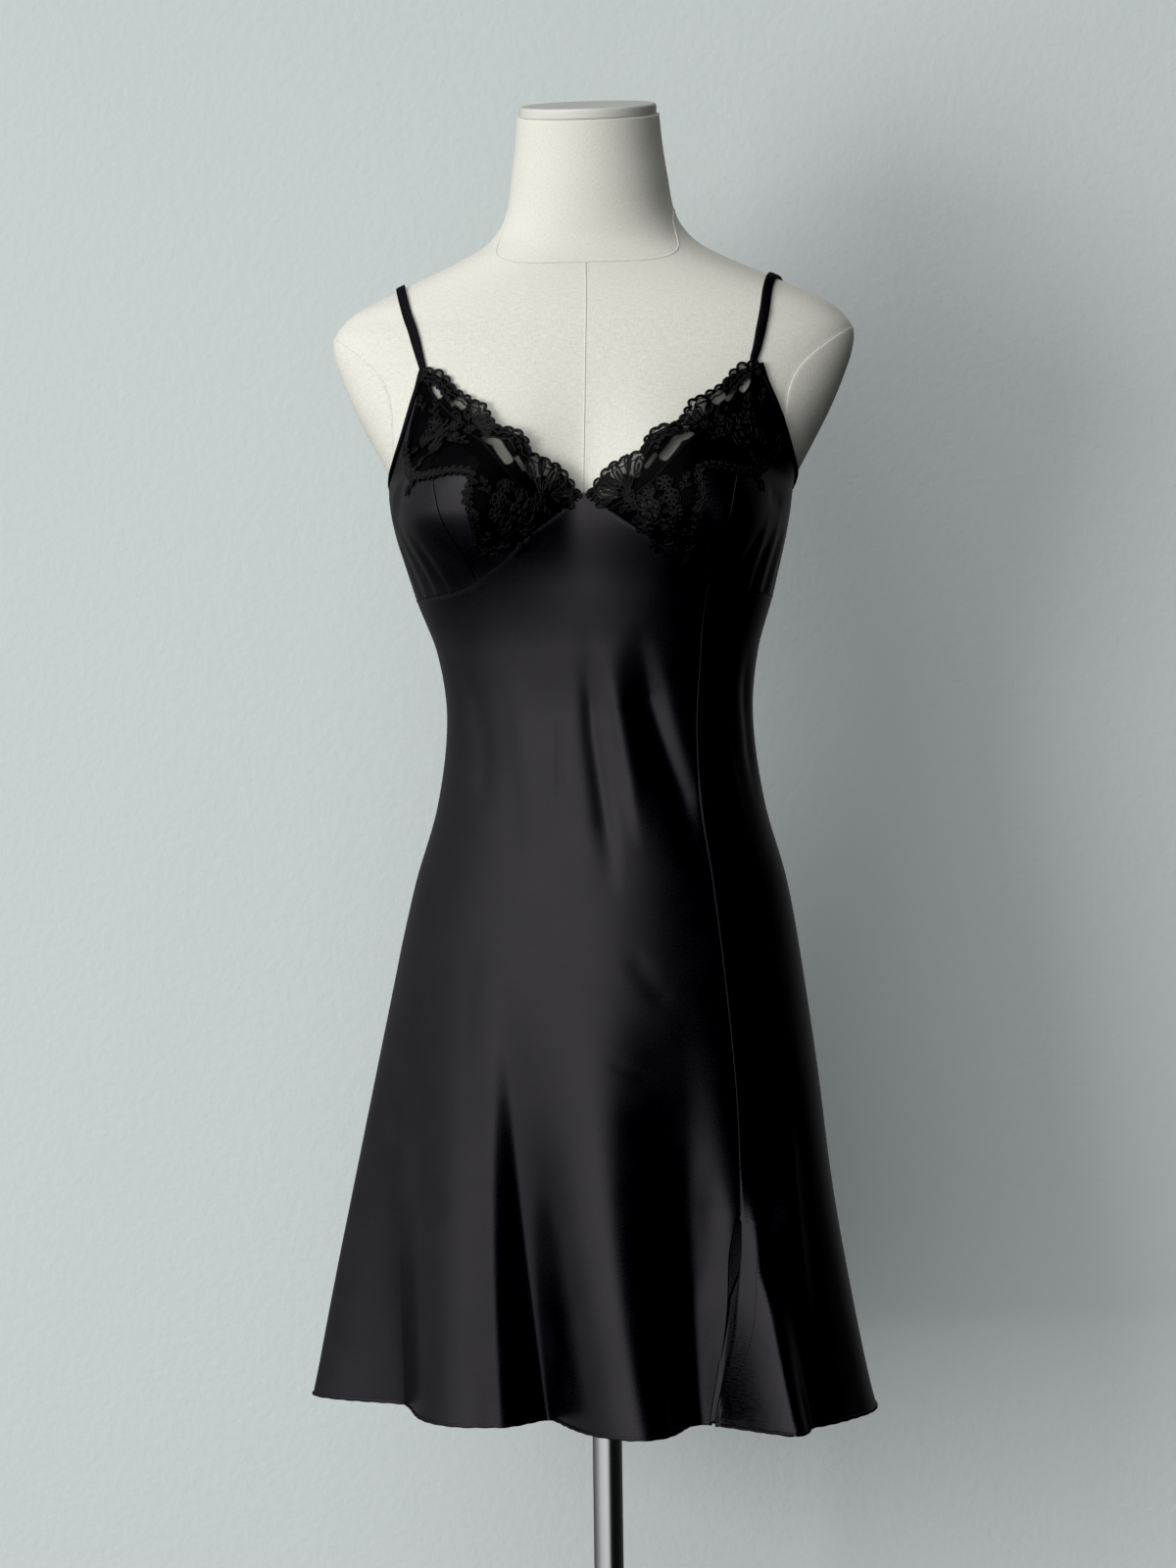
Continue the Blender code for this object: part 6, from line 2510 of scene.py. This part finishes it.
@dataclass
class DressForm:
    """The linen torso with its arm ends and seams, the neck cap and the bottom plate."""

    finishes: Finishes
    tools: Tools
    sides: int = 220
    cap_radius: float = 0.052
    cap_thickness: float = 0.008
    plate: float = 0.006
    gap: float = 0.0003

    def build(self) -> None:
        """Makes the form."""
        self.torso()
        for side in Side:
            self.arm_end(side)
        self.seams()
        self.neck_cap()
        self.bottom_plate()

    def torso(self) -> None:
        """The body of the form, closed at the neck and the bottom."""
        rings = FormShape.rings(self.sides)
        rows = len(rings)
        faces = [tuple(f) for f in grid_faces(rows, self.sides, closed=True, flip=True)]
        faces += [
            tuple(range(self.sides)), tuple(range(rows * self.sides - 1, (rows - 1) * self.sides - 1, -1))
        ]
        obj = make_mesh("form_linen", rings.reshape(-1, 3), faces)
        turn = np.linspace(-math.pi, math.pi, self.sides, endpoint=False)
        middle = rings[:, self.sides // 4]
        reach = np.concatenate([[0], np.cumsum(np.linalg.norm(np.diff(middle, axis=0), axis=1))])
        uv = np.stack(np.broadcast_arrays(np.roll(turn, self.sides // 2)[None, :] * 0.12, reach[:, None]), -1)
        set_uv(obj, uv.reshape(-1, 2))
        outward(obj)
        dress(obj, self.finishes.linen)
        settle(obj, "linen", "form_torso")

    def arm_point(self, side: Side, share: Array, turn: Array) -> Array:
        """A point of the arm end, by its share out from the middle and the turn round it."""
        y = FormShape.ARM_CENTRE[0] + FormShape.ARM_HALF_DEPTH * share * np.cos(turn)
        z = FormShape.ARM_CENTRE[1] + FormShape.ARM_HALF_HEIGHT * share * np.sin(turn)
        start = np.stack([np.full(y.shape, side.value * 0.07), y, z], -1)
        return FormShape.meet(start, start + [side.value * 0.16, 0, 0])

    def arm_normals(self, points: Array) -> Array:
        """The outward directions of the torso beside points of the arm end."""
        azimuth = np.degrees(np.arctan2(points[..., 0], -points[..., 1]))
        height = points[..., 2]

        def at(a: Array, h: Array) -> Array:
            """Points of the torso by azimuth and height."""
            radius, turn = form_radius(a, h), np.radians(a)
            return np.stack([radius * np.sin(turn), -radius * np.cos(turn), h], -1)

        across = at(azimuth + 0.3, height) - at(azimuth - 0.3, height)
        return unit(np.cross(across, at(azimuth, height + 0.0008) - at(azimuth, height - 0.0008)))

    def arm_end(self, side: Side) -> None:
        """The linen-covered end of an arm, a little proud of the torso."""
        turn = np.linspace(0, math.tau, 160, endpoint=False)
        share = np.concatenate([np.linspace(0.02, 0.96, 26), [0.975, 0.987, 0.995, 1.0]])
        points = self.arm_point(side, *np.broadcast_arrays(share[:, None], turn[None, :]))
        normals = self.arm_normals(points)
        edge = np.clip((1 - share) * FormShape.ARM_HALF_DEPTH / 0.0014, 0, 1)
        lift = 0.0009 * np.sqrt(1 - (1 - edge) ** 2) - 0.0002
        outer = points + normals * lift[:, None, None]
        inner = points - normals * 0.0020
        rows, columns = outer.shape[:2]
        half = rows * columns
        faces = [tuple(f) for f in grid_faces(rows, columns, closed=True)]
        faces += [tuple(f) for f in grid_faces(rows, columns, half, closed=True, flip=True)]
        last = (rows - 1) * columns
        for i in range(columns):
            j = (i + 1) % columns
            faces.append((last + i, last + j, half + last + j, half + last + i))
        faces += [tuple(range(columns)), tuple(range(half + columns - 1, half - 1, -1))]
        obj = make_mesh(
            f"arm_linen_{side.label}", np.vstack([outer.reshape(-1, 3), inner.reshape(-1, 3)]), faces
        )
        set_uv(obj, np.vstack([points[..., 1:].reshape(-1, 2)] * 2))
        outward(obj)
        dress(obj, self.finishes.linen)
        settle(obj, "linen", f"arm_cap_{side.label}")

    def seams(self) -> None:
        """The seam down the front and back, the one at the neck, and those round the arm ends."""
        rings = FormShape.rings(self.sides)
        tops = rings[:, 0, 2]
        lines = []
        for column in (0, self.sides // 2):
            chosen = rings[(tops > 1.12) & (rings[:, column, 2] < 1.4095), column]
            lines.append(chosen)
        turn = np.linspace(0, math.tau, self.sides, endpoint=False)
        wanted = 1.4095 + 0.045 * np.sin(turn) ** 4
        wanted = wanted + 0.012 * np.clip(-np.cos(turn), 0, 1)
        neck = []
        for column in range(self.sides):
            heights = rings[:, column, 2]
            neck.append([np.interp(wanted[column], heights, rings[:, column, axis]) for axis in range(3)])
        lines.append(np.array(neck))
        loops = [False, False, True]
        ridge = line_mesh("form_seam_ridges", lines, loops)
        self.tools.cord.run(ridge, self.finishes.linen, Diameter=0.0010, Sides=6)
        settle(ridge, "linen")
        thread = line_mesh("form_seam_stitches", [line + self.away(line, 0.0004) for line in lines], loops)
        self.tools.stitch.run(
            thread, self.finishes.linen_thread, Pitch=0.0030, Length=0.0019, Diameter=0.0005
        )
        settle(thread, "linen")
        for side in Side:
            turn = np.linspace(0, math.tau, 240, endpoint=False)
            ring = self.arm_point(side, np.full(240, 1.004), turn)
            welt = line_mesh(f"arm_seam_{side.label}", [ring], True)
            self.tools.cord.run(welt, self.finishes.linen, Diameter=0.0006, Sides=5)
            settle(welt, "linen")

    def away(self, line: Array, distance: float) -> Array:
        """Steps out from the form's axis at each point of a line."""
        flat = line * [1, 1, 0]
        return unit(flat) * distance

    def neck_cap(self) -> None:
        """The painted round board on the neck."""
        height, _, _, centre_y, tilt = NECK_RINGS[-1]
        place = Matrix.Translation((0, centre_y, height)) @ Matrix.Rotation(math.radians(tilt), 4, "X")
        r, t = self.cap_radius, self.cap_thickness
        profile = [(0, self.gap), (r - 0.0015, self.gap)]
        profile += fillet((r, self.gap), (0, self.gap), (r, t), 0.0012)
        profile += fillet((r, t), (r, 0), (0, t), 0.0026, 7)
        profile += [(r * 0.6, t + 0.0002), (0, t + 0.0002)]
        obj = lathe("neck_cap_board", profile, 128, place)
        dress(obj, self.finishes.paint)
        settle(obj, "painted_cap", "neck_cap")

    def bottom_plate(self) -> None:
        """The painted board that closes the form below."""
        outline = FormShape.ring(FORM_BOTTOM, 128) * [0.96, 0.96, 1]
        levels = [
            (0.990, -self.gap),
            (1.0, -self.gap - 0.001),
            (1.0, -self.gap - self.plate + 0.001),
            (0.990, -self.gap - self.plate),
        ]
        rings = [outline * [s, s, 0] + [0, 0, FORM_BOTTOM + z] for s, z in levels]
        points = np.vstack(rings)
        faces = [tuple(f) for f in grid_faces(len(levels), 128, closed=True)]
        faces += [tuple(range(127, -1, -1)), tuple(range(3 * 128, 4 * 128))]
        obj = make_mesh("bottom_board", points, faces)
        obj.data.set_sharp_from_angle(angle=math.radians(35))
        outward(obj)
        dress(obj, self.finishes.paint)
        settle(obj, "painted_cap", "form_bottom_plate")


@dataclass
class Stand:
    """The collar, the pole and the floor plate."""

    finishes: Finishes
    pole_radius: float = 0.0112
    collar_radius: float = 0.034
    collar_height: float = 0.030
    base_radius: float = 0.185
    base_edge: float = 0.006
    hub_radius: float = 0.022
    hub_height: float = 0.040
    hub_floor: float = 0.004
    gap: float = 0.0003

    def build(self) -> None:
        """Makes the stand from the top down."""
        bore = self.pole_radius + self.gap
        top = FORM_BOTTOM - 2 * self.gap - 0.006
        low = top - self.collar_height
        flange, neck = self.collar_radius, bore + 0.007
        profile = [(bore, top), (flange - 0.001, top)]
        profile += fillet((flange, top), (bore, top), (flange, low), 0.0008, 4)
        profile += fillet((flange, top - 0.005), (flange, top), (bore, top - 0.005), 0.0012, 4)
        profile += fillet((neck, top - 0.006), (flange, top - 0.006), (neck, low), 0.003, 5)
        profile += fillet((neck - 0.0005, low), (neck, top), (bore, low), 0.0015, 4)
        profile += [(bore, low)]
        settle(dress(lathe("collar_turned", profile, 96), self.finishes.steel), "pole_chrome", "pole_collar")
        foot, head = self.hub_floor + self.gap, top - 0.001
        r = self.pole_radius
        pole = [
            (0, foot),
            (r - 0.0008, foot),
            (r, foot + 0.0008),
            (r, head - 0.0008),
            (r - 0.0008, head),
            (0, head),
        ]
        settle(dress(lathe("pole_tube", pole, 96), self.finishes.chrome), "pole_chrome", "pole")
        self.base(bore)

    def base(self, bore: float) -> None:
        """The round floor plate with its hub."""
        edge, hub = self.base_edge, self.hub_radius
        rim = self.base_radius
        profile = [(0, self.hub_floor), (bore, self.hub_floor), (bore, self.hub_height - 0.0008)]
        profile += fillet((hub, self.hub_height), (bore, self.hub_height), (hub, 0.02), 0.0022, 6)
        profile += [
            (hub + 0.0010, edge + 0.013), (hub + 0.0032, edge + 0.0068), (hub + 0.0070, edge + 0.0028)
        ]
        profile += [(hub + 0.012, edge + 0.0008), (hub + 0.017, edge)]
        profile += fillet((rim, edge), (0, edge), (rim, 0), 0.0028, 7)
        profile += fillet((rim, 0), (rim, edge), (0, 0), 0.0012, 4)
        profile += [(0, 0)]
        settle(dress(lathe("floor_plate", profile, 160), self.finishes.steel), "base_steel", "base_plate")


# The studio


@dataclass
class Studio:
    """The floor, the lights and the camera."""

    camera_distance: float = 2.70
    camera_height: float = 1.02
    camera_azimuth: float = 4.5
    camera_roll: float = 0.79
    focal_pixels: float = 3624.0
    frame_height: float = 1600.0
    axis_offset: float = 10.5
    room_light: Spots = (  # azimuth, how bright the room is there
        (-180.0, 0.09),
        (-145.0, 0.16),
        (-118.0, 0.20),
        (-100.0, 0.42),
        (-86.0, 0.46),
        (-70.0, 0.76),
        (-54.0, 1.16),
        (-20.0, 1.36),
        (-6.0, 1.40),
        (4.0, 1.24),
        (12.0, 0.78),
        (18.0, 0.24),
        (25.0, 0.05),
        (34.0, 0.008),
        (100.0, 0.02),
        (130.0, 0.05),
        (155.0, 0.11),
        (179.0, 0.12),
    )
    room_heights: Spots = ((-1.0, 0.06), (-0.45, 0.34), (-0.15, 0.85), (0.1, 1.0), (0.5, 1.05), (1.0, 1.5))
    room_peak: float = 2.0  # a colour ramp holds no more than 1
    wall_distance: float = 0.34
    black_point: float = 0.0027

    def build(self) -> None:
        """Makes all of it."""
        self.camera()
        self.world()
        self.floor()
        self.wall()
        self.area("window", -38.0, 3.4, 1.10, 1.5, 68.0, "#fffffb")
        self.area("back_lamp", 168.0, 2.2, 2.60, 2.4, 34.0, "#fffffb", glossy=False)
        self.look()

    def look(self) -> None:
        """Plain tones, so that black cloth stays black."""
        settings = bpy.context.scene.view_settings
        settings.view_transform = "Standard"
        settings.look = "None"
        settings.exposure = 0.0
        settings.gamma = 1.0
        settings.use_curve_mapping = True
        settings.curve_mapping.black_level = (self.black_point,) * 3
        settings.curve_mapping.update()

    def camera(self) -> None:
        """The camera, a little to the wearer's left and rolled a touch."""
        turn = math.radians(self.camera_azimuth)
        aim = turn + math.atan(self.axis_offset / self.focal_pixels)
        ahead = Vector((-math.sin(aim), math.cos(aim), 0))
        level_right, level_up = Vector((ahead.y, -ahead.x, 0)), Vector((0, 0, 1))
        roll = math.radians(self.camera_roll)
        right = level_right * math.cos(roll) - level_up * math.sin(roll)
        up = level_right * math.sin(roll) + level_up * math.cos(roll)
        data = bpy.data.cameras.new("camera")
        data.sensor_fit = "VERTICAL"
        data.sensor_height = 36.0
        data.lens = 36.0 * self.focal_pixels / self.frame_height
        obj = bpy.data.objects.new("camera", data)
        matrix = Matrix((right, up, -ahead)).transposed().to_4x4()
        matrix.translation = (
            self.camera_distance * math.sin(turn),
            -self.camera_distance * math.cos(turn),
            self.camera_height,
        )
        obj.matrix_world = matrix
        bpy.context.scene.collection.objects.link(obj)
        bpy.context.scene.camera = obj

    def world(self) -> None:
        """A pale backdrop, with a room round it that is lighter on the wearer's right."""
        world = bpy.data.worlds.new("studio")
        bpy.context.scene.world = world
        world.use_nodes = True
        tree = world.node_tree
        tree.nodes.clear()
        place = add(tree, "ShaderNodeTexCoord")
        parts = add(tree, "ShaderNodeSeparateXYZ", {"Vector": place.outputs["Generated"]})
        behind = add(tree, "ShaderNodeMath", {0: parts.outputs["Y"], 1: -1.0}, operation="MULTIPLY")
        azimuth = add(
            tree, "ShaderNodeMath", {0: parts.outputs["X"], 1: behind.outputs[0]}, operation="ARCTAN2"
        )
        turn = add(
            tree,
            "ShaderNodeMapRange",
            {"Value": azimuth.outputs[0], "From Min": -math.pi, "From Max": math.pi},
        )
        room = add(tree, "ShaderNodeValToRGB", {"Fac": turn.outputs["Result"]})
        ramp = room.color_ramp
        ramp.interpolation = "B_SPLINE"
        while len(ramp.elements) < len(self.room_light):
            ramp.elements.new(0.5)
        for element, (degrees, level) in zip(ramp.elements, self.room_light, strict=True):
            element.position = (degrees + 180) / 360
            share = level / self.room_peak
            element.color = (share * 0.985, share, share * 1.005, 1.0)
        fading = add(tree, "ShaderNodeFloatCurve", {"Value": parts.outputs["Z"]})
        curve = fading.mapping.curves[0]
        fading.mapping.use_clip = False
        for spot, (height, level) in zip(curve.points, self.room_heights[:2], strict=True):
            spot.location = (height, level)
        for height, level in self.room_heights[2:]:
            curve.points.new(height, level)
        fading.mapping.update()
        gain = add(tree, "ShaderNodeMath", {0: fading.outputs[0], 1: self.room_peak}, operation="MULTIPLY")
        room = add(
            tree,
            "ShaderNodeVectorMath",
            {0: room.outputs["Color"], "Scale": gain.outputs[0]},
            operation="SCALE",
        )
        path = add(tree, "ShaderNodeLightPath")
        shown = add(
            tree,
            "ShaderNodeMix",
            {"Factor": path.outputs["Is Camera Ray"], "A": room.outputs["Vector"], "B": linear("#b4baba")},
            data_type="RGBA",
        )
        glow = add(tree, "ShaderNodeBackground", {"Color": shown.outputs["Result"], "Strength": 1.0})
        add(tree, "ShaderNodeOutputWorld", {"Surface": glow.outputs[0]})

    def floor(self) -> None:
        """A pale floor that fades into the backdrop."""
        obj = lathe("floor", [(0, -0.0004), (0.8, -0.0004), (2.6, -0.0004), (2.6, -0.002), (0, -0.002)], 96)
        material, tree, shader = new_material("painted_studio_floor")
        place = add(tree, "ShaderNodeTexCoord")
        reach = add(tree, "ShaderNodeVectorMath", {0: place.outputs["Object"]}, operation="LENGTH")
        fade = add(
            tree,
            "ShaderNodeMapRange",
            {"Value": reach.outputs["Value"], "From Min": 0.9, "From Max": 2.5, "To Min": 1.0, "To Max": 0.0},
            interpolation_type="SMOOTHSTEP",
        )
        mottle = add(
            tree, "ShaderNodeTexNoise", {"Vector": place.outputs["Object"], "Scale": 3.0, "Detail": 4.0}
        )
        tone = add(
            tree,
            "ShaderNodeMix",
            {"Factor": mottle.outputs["Fac"], "A": linear("#b9bdbd"), "B": linear("#c4c8c8")},
            data_type="RGBA",
        )
        tree.links.new(tone.outputs["Result"], shader.inputs["Base Color"])
        tree.links.new(fade.outputs["Result"], shader.inputs["Alpha"])
        set_shader(shader, Roughness=0.6)
        obj.visible_diffuse = False
        obj.visible_glossy = False
        dress(obj, material)

    def wall(self) -> None:
        """A painted wall that only the camera sees, and only from in front; it fades out all round. Its faint
        glow is painted fill light.
        """
        half = 2.4
        corners = [(-half, 0, -half), (half, 0, -half), (half, 0, half), (-half, 0, half)]
        obj = make_mesh("wall", np.array(corners) + [0, self.wall_distance, 1.0], [(0, 1, 2, 3)])
        for sight in ("visible_diffuse", "visible_glossy", "visible_transmission", "visible_shadow"):
            setattr(obj, sight, False)
        material, tree, shader = new_material("matt_wall_paint")
        place = add(tree, "ShaderNodeTexCoord")
        centred = add(
            tree, "ShaderNodeVectorMath", {
                0: place.outputs["Object"], 1: (0.0, self.wall_distance, 1.0)
            }, operation="DISTANCE"
        )
        fade = add(
            tree,
            "ShaderNodeMapRange",
            {
                "Value": centred.outputs["Value"],
                "From Min": 1.1,
                "From Max": 2.2,
                "To Min": 1.0,
                "To Max": 0.0,
            },
            interpolation_type="SMOOTHSTEP",
        )
        side = add(tree, "ShaderNodeNewGeometry")
        seen = add(tree, "ShaderNodeMath", {0: 1.0, 1: side.outputs["Backfacing"]}, operation="SUBTRACT")
        cover = add(
            tree, "ShaderNodeMath", {0: fade.outputs["Result"], 1: seen.outputs[0]}, operation="MULTIPLY"
        )
        nap = add(
            tree, "ShaderNodeTexNoise", {"Vector": place.outputs["Object"], "Scale": 160.0, "Detail": 4.0}
        )
        bump = add(
            tree, "ShaderNodeBump", {"Height": nap.outputs["Fac"], "Strength": 0.35, "Distance": 0.0015}
        )
        tree.links.new(cover.outputs[0], shader.inputs["Alpha"])
        tree.links.new(bump.outputs["Normal"], shader.inputs["Normal"])
        set_shader(
            shader,
            Base_Color=linear("#bdc4c4"),
            Roughness=0.9,
            Specular_IOR_Level=0.1,
            # the faint emission is painted fill light on the wall, not a lamp
            Emission_Color=linear("#c8cfcf"),
            Emission_Strength=0.06,
        )
        dress(obj, material)

    def area(
        self,
        name: str,
        azimuth: float,
        distance: float,
        height: float,
        size: float,
        power: float,
        colour: str,
        glossy: bool = False,
    ) -> None:
        """A soft square light at an azimuth, looking level at the middle of the dress."""
        data = bpy.data.lights.new(name, "AREA")
        data.shape = "SQUARE"
        data.size = size
        data.energy = power
        data.color = linear(colour)[:3]
        obj = bpy.data.objects.new(name, data)
        turn = math.radians(azimuth)
        place = Vector((distance * math.sin(turn), -distance * math.cos(turn), height))
        toward = Vector((0, 0, 1.05)) - place
        obj.matrix_world = Matrix.Translation(place) @ toward.to_track_quat("-Z", "Y").to_matrix().to_4x4()
        obj.visible_camera = False
        obj.visible_glossy = glossy
        bpy.context.scene.collection.objects.link(obj)


def main() -> None:
    """Builds the studio, the form and the dress."""
    logging.basicConfig(level=logging.INFO, format="%(message)s")
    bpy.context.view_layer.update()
    Studio().build()
    finishes, tools = Finishes(), Tools()
    DressForm(finishes, tools).build()
    Stand(finishes).build()
    Skirt(finishes, tools).build()
    Bodice(finishes, tools).build()
    for side in Side:
        Lace(side, finishes, tools).build()


if __name__ == "__main__":
    main()
